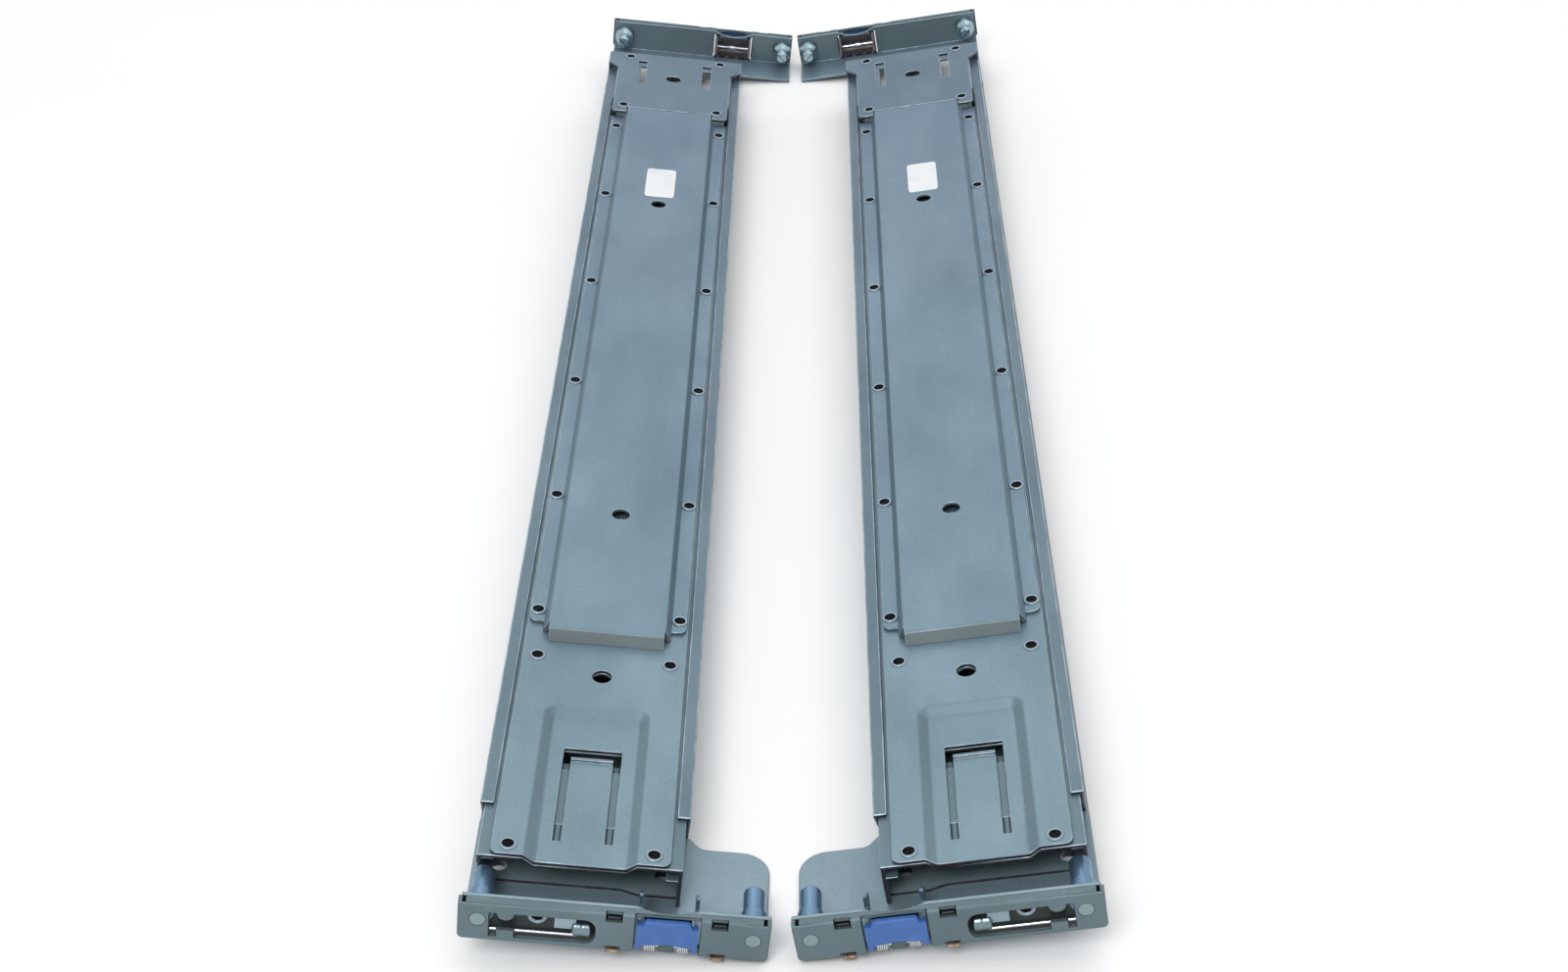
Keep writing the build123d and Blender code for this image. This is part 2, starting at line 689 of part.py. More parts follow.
# Two springs wound on the hinge pin, either side of the knuckle
with BuildPart() as front_springs:
    turn = spring_length / spring_turns
    for spring_x in (latch_x - spring_offset, latch_x + spring_offset):
        left_end = spring_x - spring_length / 2
        with BuildSketch(Plane(origin=(left_end, hinge_y, hinge_z), x_dir=(1, 0, 0), z_dir=(0, -1, 0))):
            with BuildLine():
                rib_points = [(0, hinge_pin_radius)]
                for rib in range(spring_turns):
                    rib_points.append((rib * turn, spring_groove_radius))
                    rib_points.append(((rib + 0.5) * turn, spring_radius))
                rib_points.append((spring_length, spring_groove_radius))
                rib_points.append((spring_length, hinge_pin_radius))
                Polyline(*rib_points, close=True)
            make_face()
        revolve(axis=Axis((left_end, hinge_y, hinge_z), (1, 0, 0)))

# Push button: thumb pad with two legs that turn on the hinge pin
with BuildPart() as front_button:
    with BuildSketch(section(-button_proud)):
        with BuildLine():
            Polyline(
                (latch_x - button_half_width, button_bottom_z),
                (latch_x - button_half_width, button_shoulder_z),
                (latch_x - button_top_half_width - 0.6, button_shoulder_z),
                (latch_x - button_top_half_width, button_top_z),
                (latch_x + button_top_half_width, button_top_z),
                (latch_x + button_top_half_width + 0.6, button_shoulder_z),
                (latch_x + button_half_width, button_shoulder_z),
                (latch_x + button_half_width, button_bottom_z),
                (latch_x, button_bottom_z + button_arch),
                close=True,
            )
        make_face()
        fillet(vertices().group_by(Axis.Y)[-1], radius=1.4)
    extrude(amount=-(button_proud + button_thin_back_y))
    pad_front = faces().sort_by(Axis.Y)[0]
    fillet(pad_front.edges().sort_by(Axis.Z)[-1], radius=0.5)
    with BuildSketch(section(button_thin_back_y - 0.5)):
        area(latch_x - button_half_width, latch_x + button_half_width,
             button_bottom_z + button_arch, button_step_z)
    extrude(amount=-(button_back_y - button_thin_back_y + 0.5))
    for side in (-1, 1):
        leg_inner = latch_x + side * (button_half_width - leg_width)
        leg_left = min(leg_inner, latch_x + side * button_half_width)
        with BuildSketch(side_view(leg_left)):
            with Locations((hinge_y, hinge_z)):
                Circle(knuckle_radius)
            area(-button_proud + 0.3, button_back_y, hinge_z, button_step_z)
            area(hinge_y - knuckle_radius, button_back_y, hinge_z, button_bottom_z + button_arch)
            with Locations((hinge_y, hinge_z)):
                Circle(hinge_pin_radius + hinge_play, mode=Mode.SUBTRACT)
        extrude(amount=leg_width)

# Hook: two barbed arms joined by a web behind the button, with a cross rod
with BuildPart() as front_hook:
    for arm_x in (first_hook_x, second_hook_x):
        with BuildSketch(side_view(arm_x - hook_sheet / 2)):
            with BuildLine():
                Polyline(
                    (button_back_y, hook_arm_bottom_z),
                    (button_back_y, hook_arm_top_z - 1.8),
                    (seat_front_y + 0.2, hook_arm_top_z),
                    (hook_barb_ys[0], hook_arm_top_z),
                    (hook_barb_ys[0], hook_barb_z),
                    (hook_barb_ys[0] + 1.2, hook_barb_z),
                    (hook_barb_ys[1], hook_arm_top_z),
                    (hook_arm_reach - 1.5, hook_arm_top_z - 0.6),
                    (hook_arm_reach, hook_arm_top_z - 2.2),
                    (hook_arm_reach, hook_arm_bottom_z + 1.4),
                    (hook_arm_reach - 2.0, hook_arm_bottom_z),
                    close=True,
                )
            make_face()
        extrude(amount=hook_sheet)
    with BuildSketch(section(button_back_y)):
        area(first_hook_x, second_hook_x, hook_arm_bottom_z, hook_arm_top_z - 1.8)
    extrude(amount=-hook_web_sheet)
    with BuildSketch(side_view(first_hook_x)):
        with Locations((hook_rod_y, hook_rod_z)):
            Circle(hook_rod_radius)
    extrude(amount=unit_long_pitch)
    with BuildSketch(side_view(latch_x - hook_clip_half_width)):
        area(button_back_y + 0.4, hook_rod_y + hook_rod_radius + hook_clip_wrap,
             hook_arm_bottom_z + hook_clip_wrap, hook_rod_z + hook_rod_radius + hook_clip_wrap)
    extrude(amount=2 * hook_clip_half_width)

# Outer member of the slide: shallow channel fixed under the bracket
with BuildPart() as slide_outer:
    with BuildSketch(section(slide_front_y)):
        around_slide(outer_half_width, slide_bottom_z, slide_top_z)
        around_slide(outer_inner_half, slide_bottom_z - 1, outer_web_z, Mode.SUBTRACT)
        ball_grooves(outer_ball_offset)
    extrude(amount=-(slide_rear_y - slide_front_y))

# Middle member, running in the outer one
with BuildPart() as slide_middle:
    with BuildSketch(section(slide_front_y)):
        around_slide(middle_half_width, slide_bottom_z, middle_web_top_z)
        around_slide(middle_inner_half, slide_bottom_z - 1, middle_web_z, Mode.SUBTRACT)
        ball_grooves(outer_ball_offset)
        ball_grooves(inner_ball_offset)
    extrude(amount=-(slide_rear_y - slide_front_y))

# Inner member, which carries the server on its flat face
with BuildPart() as slide_inner:
    with BuildSketch(section(slide_front_y)):
        around_slide(inner_half_width, inner_face_z, inner_top_z)
        around_slide(inner_half_width - inner_sheet,
                     inner_face_z + inner_sheet, inner_top_z + 1, Mode.SUBTRACT)
        ball_grooves(inner_ball_offset)
    extrude(amount=-(slide_rear_y - slide_front_y))


def ball_cage(offset, web_top):
    """Thin cage between two members, with its balls in the side strips."""
    with BuildSketch(section(cage_front_y)) as strip:
        around_slide(offset + cage_side_sheet / 2, ball_z - cage_foot, web_top)
        around_slide(offset - cage_side_sheet / 2,
                     ball_z - cage_foot - 1, web_top - cage_sheet, Mode.SUBTRACT)
    extrude(strip.sketch, amount=-cage_length)
    for side in (-1, 1):
        for row in range(ball_rows):
            ball_x = slide_center_x + side * offset
            ball_y = cage_front_y + (row + 0.5) * cage_length / ball_rows
            ball_plane = Plane(origin=(ball_x, ball_y, ball_z), x_dir=(1, 0, 0), z_dir=(0, -1, 0))
            with BuildSketch(ball_plane) as half_ball:
                with BuildLine():
                    Polyline(
                        (0, -ball_radius),
                        (ball_radius, -ball_crown),
                        (ball_radius, ball_crown),
                        (0, ball_radius),
                        close=True,
                    )
                make_face()
            revolve(half_ball.sketch, axis=Axis((ball_x, ball_y, ball_z), (0, 0, 1)))


# Ball cages between the members
with BuildPart() as outer_ball_cage:
    ball_cage(outer_ball_offset, outer_web_z - (web_gap - cage_sheet) / 2)
with BuildPart() as inner_ball_cage:
    ball_cage(inner_ball_offset, middle_web_z - (inner_top_gap - cage_sheet) / 2)

# Spacer studs between the base sheet and the slide, in the sleeve's slot
with BuildPart() as spacer_studs:
    with BuildSketch(Plane.XY.offset(slide_top_z)):
        with Locations(*[(slide_center_x, first_stud_y + stud * stud_pitch) for stud in range(stud_count)]):
            Circle(stud_radius)
    extrude(amount=plate_top_z - slide_top_z)

# Sleeve: rear channel that wraps the front channel with inturned lips
with BuildPart() as rear_sleeve:
    with BuildSketch(section(lip_front_y)):
        around_center(sleeve_half_width, sleeve_web_bottom_z, lip_top_z)
        around_center(sleeve_inner_half, sleeve_web_top_z, lip_bottom_z, Mode.SUBTRACT)
        around_center(sleeve_half_width - lip_width, lip_bottom_z - 1, lip_top_z + 1, Mode.SUBTRACT)
    extrude(amount=-(body_rear_y - lip_front_y))
    with BuildSketch(side_view(body_left - 1)):
        with BuildLine():
            Polyline(
                (lip_front_y - 1, sleeve_web_bottom_z - 1),
                (wall_foot_y, sleeve_web_bottom_z - 1),
                (wall_foot_y, sleeve_web_top_z),
                (lip_front_y, lip_bottom_z),
                (lip_front_y - 1, lip_bottom_z),
                close=True,
            )
        make_face()
    extrude(amount=2 * sleeve_half_width + 2, mode=Mode.SUBTRACT)
    with BuildSketch(Plane.XY.offset(sleeve_web_bottom_z)):
        around_slide(support_slot_half_width, lip_front_y, last_stud_y + support_slot_half_width)
        around_center(sleeve_inner_half, sleeve_web_rear_y, body_rear_y + 1)
    extrude(amount=sleeve_sheet, mode=Mode.SUBTRACT)

# Rear bracket: plate with a narrow ear, seat bent up at the back and two inner walls
with BuildPart() as rear_bracket:
    add(front_bracket.part)
    split(bisect_by=Plane.XZ.offset(-seat_setback), keep=Keep.TOP)
    mirror(about=mid_plane, mode=Mode.REPLACE)
    with BuildSketch(Plane.XY.offset(rear_plate_bottom_z)):
        around_center(sleeve_inner_half, sleeve_web_rear_y, rear_seat_y)
        area(plate_left, flange_right, body_rear_y, rear_seat_y)
        area(body_right, flange_right + 1, body_rear_y - 1, rear_ear_front_y, Mode.SUBTRACT)
        for slot_x in both_sides(rear_slot_offset):
            area(slot_x - rear_slot_width / 2, slot_x + rear_slot_width / 2,
                 rear_ear_front_y - view_slot_length, rear_ear_front_y, Mode.SUBTRACT)
    extrude(amount=rear_bracket_sheet)
    with BuildSketch(section(rear_wall_front_y)):
        for side in (-1, 1):
            outer_x = body_center_x + side * rear_wall_offset
            area(outer_x, outer_x - side * rear_bracket_sheet, rear_plate_bottom_z, crown_bottom_z)
    extrude(amount=-(body_rear_y - rear_wall_front_y))

# Rear plate: level with the stiffener's crown, with skirts down to the lips
with BuildPart() as rear_plate:
    with BuildSketch(Plane.XY.offset(crown_bottom_z)):
        with BuildLine():
            Polyline(
                *[(body_center_x + x, y) for x, y in (
                    (-front_plate_half_width, rear_plate_front_y),
                    (-front_plate_half_width, widening_front_y),
                    (-sleeve_half_width, widening_rear_y),
                    (-sleeve_half_width, body_rear_y),
                    (sleeve_half_width, body_rear_y),
                    (sleeve_half_width, widening_rear_y),
                    (front_plate_half_width, widening_front_y),
                    (front_plate_half_width, rear_plate_front_y),
                )],
                close=True,
            )
        make_face()
        fillet(vertices().group_by(Axis.Y)[0], radius=hat_corner_radius)
        around_center(crown_half_width + stop_gap,
                      rear_plate_front_y - 1, crown_rear_y + stop_gap, Mode.SUBTRACT)
        for slot_x in both_sides(rear_slot_offset):
            area(slot_x - rear_slot_width / 2, slot_x + rear_slot_width / 2,
                 rear_slot_front_y, rear_slot_front_y + rear_slot_length, Mode.SUBTRACT)
        with Locations((body_center_x, rear_hole_y)):
            SlotCenterToCenter(1.2, 2 * center_hole_radius - 0.4, mode=Mode.SUBTRACT)
    extrude(amount=body_sheet)
    with BuildSketch(section(widening_rear_y)):
        for side in (-1, 1):
            outer_x = body_center_x + side * sleeve_half_width
            area(outer_x, outer_x - side * rear_skirt_sheet, lip_top_z, crown_bottom_z)
    extrude(amount=-(body_rear_y - widening_rear_y))

# Rear cover, hinge pin, springs, button and hook mirror the front ones
with BuildPart() as rear_cover:
    mirror(front_cover.part, about=mid_plane)
with BuildPart() as rear_hinge_pin:
    mirror(front_hinge_pin.part, about=mid_plane)
with BuildPart() as rear_springs:
    mirror(front_springs.part, about=mid_plane)
with BuildPart() as rear_button:
    mirror(front_button.part, about=mid_plane)
with BuildPart() as rear_hook:
    mirror(front_hook.part, about=mid_plane)

# Each rail leans on its ear and its slide, the right one mirrors the left one
rail_pieces = {
    "front_bracket": front_bracket,
    "front_cover": front_cover,
    "front_pegs": front_pegs,
    "front_plate": front_plate,
    "front_channel": front_channel,
    "base_sheet": base_sheet,
    "hat_stiffener": hat_stiffener,
    "front_rivets": front_rivets,
    "lock_rod": lock_rod,
    "front_hinge_pin": front_hinge_pin,
    "front_springs": front_springs,
    "front_button": front_button,
    "front_hook": front_hook,
    "slide_outer": slide_outer,
    "slide_middle": slide_middle,
    "slide_inner": slide_inner,
    "outer_ball_cage": outer_ball_cage,
    "inner_ball_cage": inner_ball_cage,
    "spacer_studs": spacer_studs,
    "rear_sleeve": rear_sleeve,
    "rear_bracket": rear_bracket,
    "rear_plate": rear_plate,
    "rear_rivets": rear_rivets,
    "rear_cover": rear_cover,
    "rear_pegs": rear_pegs,
    "rear_hinge_pin": rear_hinge_pin,
    "rear_springs": rear_springs,
    "rear_button": rear_button,
    "rear_hook": rear_hook,
}
left_corner = Location((-rail_offset_x, -overall_length / 2, lift))
left_place = left_corner * Rotation(0, 0, -rail_splay) * Rotation(0, roll, 0)
os.makedirs("parts", exist_ok=True)
for name, piece in rail_pieces.items():
    left_part = piece.part.moved(left_place)
    left_part.label = "left_" + name
    export_step(left_part, "parts/left_" + name + ".step")
    right_part = mirror(left_part, about=Plane.YZ)
    right_part.label = "right_" + name
    export_step(right_part, "parts/right_" + name + ".step")
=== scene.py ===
"""Dresses the pair of sliding server rails for a plain studio picture.

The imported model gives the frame. Each class below is one sub-assembly that builds its
meshes and gives them their finish, and main() builds them in order. Sizes of pieces are in
millimetres in the rail's own frame: X across the rail, Y from front to rear, Z square to the
plates. Sizes of finishes and of the studio are in metres.
"""
import logging
import math
from dataclasses import dataclass, field
from enum import Enum

import bmesh
import bpy
import numpy as np
from mathutils import Matrix, Vector


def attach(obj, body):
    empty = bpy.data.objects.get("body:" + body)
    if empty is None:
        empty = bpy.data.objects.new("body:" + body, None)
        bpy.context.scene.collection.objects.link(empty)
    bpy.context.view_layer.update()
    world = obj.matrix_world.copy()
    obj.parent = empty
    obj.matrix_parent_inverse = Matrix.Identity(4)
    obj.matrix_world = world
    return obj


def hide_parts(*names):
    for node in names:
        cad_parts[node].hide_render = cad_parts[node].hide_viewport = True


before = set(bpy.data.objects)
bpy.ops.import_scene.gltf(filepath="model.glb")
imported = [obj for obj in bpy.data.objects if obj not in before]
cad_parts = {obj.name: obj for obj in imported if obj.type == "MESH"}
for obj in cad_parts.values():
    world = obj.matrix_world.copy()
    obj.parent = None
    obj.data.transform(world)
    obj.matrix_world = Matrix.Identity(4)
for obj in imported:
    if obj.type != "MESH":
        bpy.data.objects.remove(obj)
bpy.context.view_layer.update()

MM = 0.001
WELD = 1e-7
PIECE_CREASE = math.radians(38)
RAIL_LENGTH = 607.0
MIDDLE_X = -11.7
CROWN_Z = 4.2
LATCH_X = 14.2875
log = logging.getLogger("rails")

Color = tuple[float, float, float, float]
Spot = tuple[float, float, float]
Socket = bpy.types.NodeSocket


class Side(Enum):
    """The two rails of the pair."""

    LEFT = "left"
    RIGHT = "right"


class End(Enum):
    """The two ends of one rail."""

    FRONT = "front"
    REAR = "rear"


class Axis(Enum):
    """Axes of the rail's own frame.

    Each value holds the coordinates that the cosine, the sine and the height of a turned
    shape go to.
    """

    X = (1, 2, 0)
    Y = (2, 0, 1)
    Z = (0, 1, 2)


class Sheared(Enum):
    """Which faces of a sheet piece are bare sheared edges."""

    NONE = 0
    ENDS = 1
    ALL_ROUND = 2


@dataclass(frozen=True)
class RailPlace:
    """Place and lean of one rail, from its own frame in millimetres to the part's frame in metres."""

    side: Side
    offset_x: float = 44.6
    half_length: float = 303.5
    splay: float = math.radians(0.15)
    plate_z: float = 18.0
    ear_x: float = 42.7
    slide_drop: float = 7.62
    slide_run: float = 57.5

    @property
    def lean(self) -> float:
        """Angle of the plates to the floor."""
        return math.atan2(self.slide_drop, self.slide_run)

    @property
    def body(self) -> dict[str, str]:
        """Names of this rail's bodies.

        Returns:
            Each body's name by its short name.
        """
        return {
            "frame": "front_frames",
            "rear": f"{self.side.value}_rear_frame",
            "front_latch": f"{self.side.value}_front_latch",
            "rear_latch": f"{self.side.value}_rear_latch",
        }

    def turn(self) -> np.ndarray:
        """Rotation of the rail: lean about Y, splay about Z and, on the right, mirror in X.

        Returns:
            A 3 by 3 matrix.
        """
        c, s = math.cos(self.lean), math.sin(self.lean)
        lean = np.array([[c, 0, s], [0, 1, 0], [-s, 0, c]])
        c, s = math.cos(-self.splay), math.sin(-self.splay)
        splay = np.array([[c, -s, 0], [s, c, 0], [0, 0, 1]])
        mirror = np.diag([-1.0 if self.side is Side.RIGHT else 1.0, 1.0, 1.0])
        return mirror @ splay @ lean

    def place(self, points: np.ndarray) -> np.ndarray:
        """Carry points of the rail's own frame into the part's frame.

        Args:
            points: array whose last axis is X, Y, Z in millimetres.

        Returns:
            The same shape, in metres.
        """
        mirror = -1.0 if self.side is Side.RIGHT else 1.0
        lift = self.ear_x * math.sin(self.lean) + self.plate_z * math.cos(self.lean)
        shift = np.array([-self.offset_x * mirror, -self.half_length, lift])
        return (points @ self.turn().T + shift) * MM

    def outward(self) -> Spot:
        """Direction of the plates' outer side in the part's frame."""
        return tuple(self.turn() @ np.array([0.0, 0.0, 1.0]))


def rear(y: float | np.ndarray) -> float | np.ndarray:
    """Place at the rear end that mirrors y at the front end."""
    return RAIL_LENGTH - y


@dataclass
class Piece:
    """A mesh gathered from lattices of points in the rail's own frame."""

    name: str
    place: RailPlace
    points: list[np.ndarray] = field(default_factory=list)
    quads: list[np.ndarray] = field(default_factory=list)
    slots: list[np.ndarray] = field(default_factory=list)
    count: int = 0

    def lattice(self, grid: np.ndarray, wrap_u: bool = False, wrap_v: bool = False,
                slot: int | np.ndarray = 0, flip: bool = False) -> None:
        """Add one surface given as a grid of points; each cell becomes a four-sided face.

        Args:
            grid: points in an array of shape (rows, columns, 3), in millimetres.
            wrap_u: joins the last row to the first.
            wrap_v: joins the last column to the first.
            slot: material slot of the cells.
            flip: turns the faces over.
        """
        rows, columns = grid.shape[:2]
        u = np.arange(rows if wrap_u else rows - 1)
        v = np.arange(columns if wrap_v else columns - 1)
        uu, vv = np.meshgrid(u, v, indexing="ij")
        un, vn = (uu + 1) % rows, (vv + 1) % columns
        corners = [uu * columns + vv, un * columns + vv, un * columns + vn, uu * columns + vn]
        cells = np.stack(corners, axis=-1).reshape(-1, 4)
        marks = np.broadcast_to(np.asarray(slot), uu.shape).ravel()
        self.quads.append((cells[:, ::-1] if flip else cells) + self.count)
        self.slots.append(marks)
        self.points.append(grid.reshape(-1, 3))
        self.count += rows * columns

    def build(self, materials: list[bpy.types.Material], smooth: bool = True,
              recalculate: bool = True) -> bpy.types.Object:
        """Make the object, with its place in its mesh.

        Args:
            materials: one material per slot.
            smooth: shades across the faces, with sharp edges kept by angle.
            recalculate: turns the faces outwards, for closed pieces.

        Returns:
            The new object, linked to the scene.
        """
        points = self.place.place(np.concatenate(self.points))
        quads = np.concatenate(self.quads)
        if self.place.side is Side.RIGHT:
            quads = quads[:, ::-1]
        mesh = bpy.data.meshes.new(self.name)
        mesh.vertices.add(len(points))
        mesh.vertices.foreach_set("co", points.ravel())
        mesh.loops.add(quads.size)
        mesh.loops.foreach_set("vertex_index", quads.ravel())
        mesh.polygons.add(len(quads))
        mesh.polygons.foreach_set("loop_start", np.arange(0, quads.size, 4))
        mesh.polygons.foreach_set("material_index", np.concatenate(self.slots))
        mesh.update(calc_edges=True)
        work = bmesh.new()
        work.from_mesh(mesh)
        bmesh.ops.remove_doubles(work, verts=work.verts, dist=WELD)
        bmesh.ops.dissolve_degenerate(work, edges=work.edges, dist=WELD)
        if recalculate:
            bmesh.ops.recalc_face_normals(work, faces=work.faces)
        work.to_mesh(mesh)
        work.free()
        for material in materials:
            mesh.materials.append(material)
        if smooth:
            mesh.shade_smooth()
            mesh.set_sharp_from_angle(angle=PIECE_CREASE)
        built = bpy.data.objects.new(self.name, mesh)
        bpy.context.scene.collection.objects.link(built)
        return built


def revolved(profile: np.ndarray, center: Spot, axis: Axis, steps: int) -> np.ndarray:
    """Surface of revolution: each profile point (radius, height) turned round the axis.

    Point = center + height along the axis + radius times (cosine, sine) across it.

    Args:
        profile: array of (radius, height) rows, in millimetres.
        center: point on the axis at height 0.
        axis: the axis it is turned round.
        steps: points round the axis.

    Returns:
        A grid of shape (steps, profile points, 3) that wraps in its first direction.
    """
    order = axis.value
    angle = np.linspace(0, 2 * math.pi, steps, endpoint=False)[:, None]
    radius, height = profile[None, :, 0], profile[None, :, 1]
    grid = np.zeros((steps, len(profile), 3))
    grid[..., order[0]] = radius * np.cos(angle)
    grid[..., order[1]] = radius * np.sin(angle)
    grid[..., order[2]] = height + 0 * angle
    return grid + np.asarray(center)


def swept(path: np.ndarray, radius: float, sides: int) -> np.ndarray:
    """Round tube along a path: a circle across the path's direction at each of its points.

    The circle's first direction is a fixed vector made square to the path, and both ends
    close on a point.

    Args:
        path: array of points, in millimetres.
        radius: tube radius.
        sides: points round the tube.

    Returns:
        A grid of shape (path points + 2, sides, 3) that wraps in its second direction.
    """
    along = np.gradient(path, axis=0)
    along /= np.linalg.norm(along, axis=1, keepdims=True)
    guide = np.array([1.0, 0.02, 0.01]) if abs(along[:, 0]).max() < 0.9 else np.array([0.01, 0.02, 1.0])
    first = guide - (along @ guide)[:, None] * along
    first /= np.linalg.norm(first, axis=1, keepdims=True)
    second = np.cross(along, first)
    angle = np.linspace(0, 2 * math.pi, sides, endpoint=False)
    ring = np.cos(angle)[None, :, None] * first[:, None] + np.sin(angle)[None, :, None] * second[:, None]
    tube = path[:, None] + radius * ring
    start = np.repeat(path[:1, None], sides, axis=1)
    stop = np.repeat(path[-1:, None], sides, axis=1)
    return np.concatenate([start, tube, stop])


def smooth_step(x: np.ndarray) -> np.ndarray:
    """Rises from 0 to 1 with level ends: 3x² - 2x³ between 0 and 1."""
    x = np.clip(x, 0, 1)
    return x * x * (3 - 2 * x)


class Graph:
    """Node tree of one material, with short calls for the nodes in use here."""

    def __init__(self, name: str) -> None:
        """Start an empty tree with its output.

        Args:
            name: the material's name.
        """
        self.material = bpy.data.materials.new(name)
        self.material.use_nodes = True
        self.nodes = self.material.node_tree.nodes
        self.nodes.clear()
        self.links = self.material.node_tree.links
        self.output = self.nodes.new("ShaderNodeOutputMaterial")
        self.coordinates = self.nodes.new("ShaderNodeTexCoord")

    def node(self, kind: str, inputs: dict[str | int, object] | None = None,
             **settings: object) -> bpy.types.Node:
        """Add a node, set its settings and feed its inputs.

        Args:
            kind: Blender's name of the node, without its ShaderNode start.
            inputs: value or socket for each named or numbered input.
            settings: the node's own properties.

        Returns:
            The node.
        """
        made = self.nodes.new("ShaderNode" + kind)
        for key, value in settings.items():
            setattr(made, key, value)
        for key, value in (inputs or {}).items():
            if isinstance(value, Socket):
                self.links.new(value, made.inputs[key])
            else:
                made.inputs[key].default_value = value
        return made

    def noise(self, scale: Spot, detail: float, turn: float = 0.0) -> Socket:
        """Noise on the object coordinates, turned about Z and scaled by axis.

        Args:
            scale: how often it varies in a metre, for each axis.
            detail: how many finer layers it has.
            turn: angle about Z.

        Returns:
            The noise, from 0 to 1.
        """
        mapping = self.node("Mapping", {"Vector": self.coordinates.outputs["Object"],
                                        "Rotation": (0, 0, turn), "Scale": scale})
        return self.node("TexNoise", {"Vector": mapping.outputs[0], "Scale": 1.0, "Detail": detail,
                                      "Roughness": 0.55}).outputs[0]

    def span(self, value: Socket, low: float, high: float, to_low: float, to_high: float) -> Socket:
        """Map a value from one range to another, clamped at both ends."""
        return self.node("MapRange", {"Value": value, "From Min": low, "From Max": high,
                                      "To Min": to_low, "To Max": to_high}).outputs[0]

    def mix(self, factor: Socket | float, a: object, b: object, blend: str = "MIX") -> Socket:
        """Mix two colours by a factor, which is a socket or a number."""
        return self.node("Mix", {0: factor, 6: a, 7: b}, data_type="RGBA", blend_type=blend).outputs[2]

    def math(self, operation: str, a: object, b: object = 0.0) -> Socket:
        """One sum of two values."""
        return self.node("Math", {0: a, 1: b}, operation=operation).outputs[0]

    def depth(self) -> Socket:
        """Place along the part's Y, in metres."""
        return self.node("SeparateXYZ", {0: self.coordinates.outputs["Object"]}).outputs[1]

    def along(self, place: RailPlace, axis: Spot) -> Socket:
        """Place along one of the rail's own axes: the point less the rail's origin, times the axis.

        Args:
            place: the rail's place.
            axis: the axis in the rail's own frame.

        Returns:
            The place in metres.
        """
        moved = self.node("VectorMath", {0: self.coordinates.outputs["Object"],
                                         1: tuple(place.place(np.zeros(3)))}, operation="SUBTRACT")
        return self.node("VectorMath", {0: moved.outputs[0], 1: tuple(place.turn() @ np.array(axis))},
                         operation="DOT_PRODUCT").outputs["Value"]

    def toward(self, direction: Spot) -> Socket:
        """How squarely a face looks along a direction, from -1 to 1."""
        return self.node("VectorMath", {0: self.coordinates.outputs["Normal"], 1: direction},
                         operation="DOT_PRODUCT").outputs["Value"]

    def facing(self, direction: Spot) -> Socket:
        """How squarely a face looks along a direction or against it, from 0 to 1."""
        return self.math("ABSOLUTE", self.toward(direction))

    def finish(self, shader: bpy.types.Node) -> bpy.types.Material:
        """Join the shader to the output and return the material."""
        self.links.new(shader.outputs[0], self.output.inputs["Surface"])
        return self.material


def rgb(red: float, green: float, blue: float) -> Color:
    """Turn a colour given as it looks into the linear values that shaders read.

    Args:
        red: 0 to 255.
        green: 0 to 255.
        blue: 0 to 255.

    Returns:
        The colour, with full cover.
    """
    value = np.array([red, green, blue]) / 255
    linear = np.where(value <= 0.04045, value / 12.92, ((value + 0.055) / 1.055) ** 2.4)
    return (*linear.tolist(), 1.0)


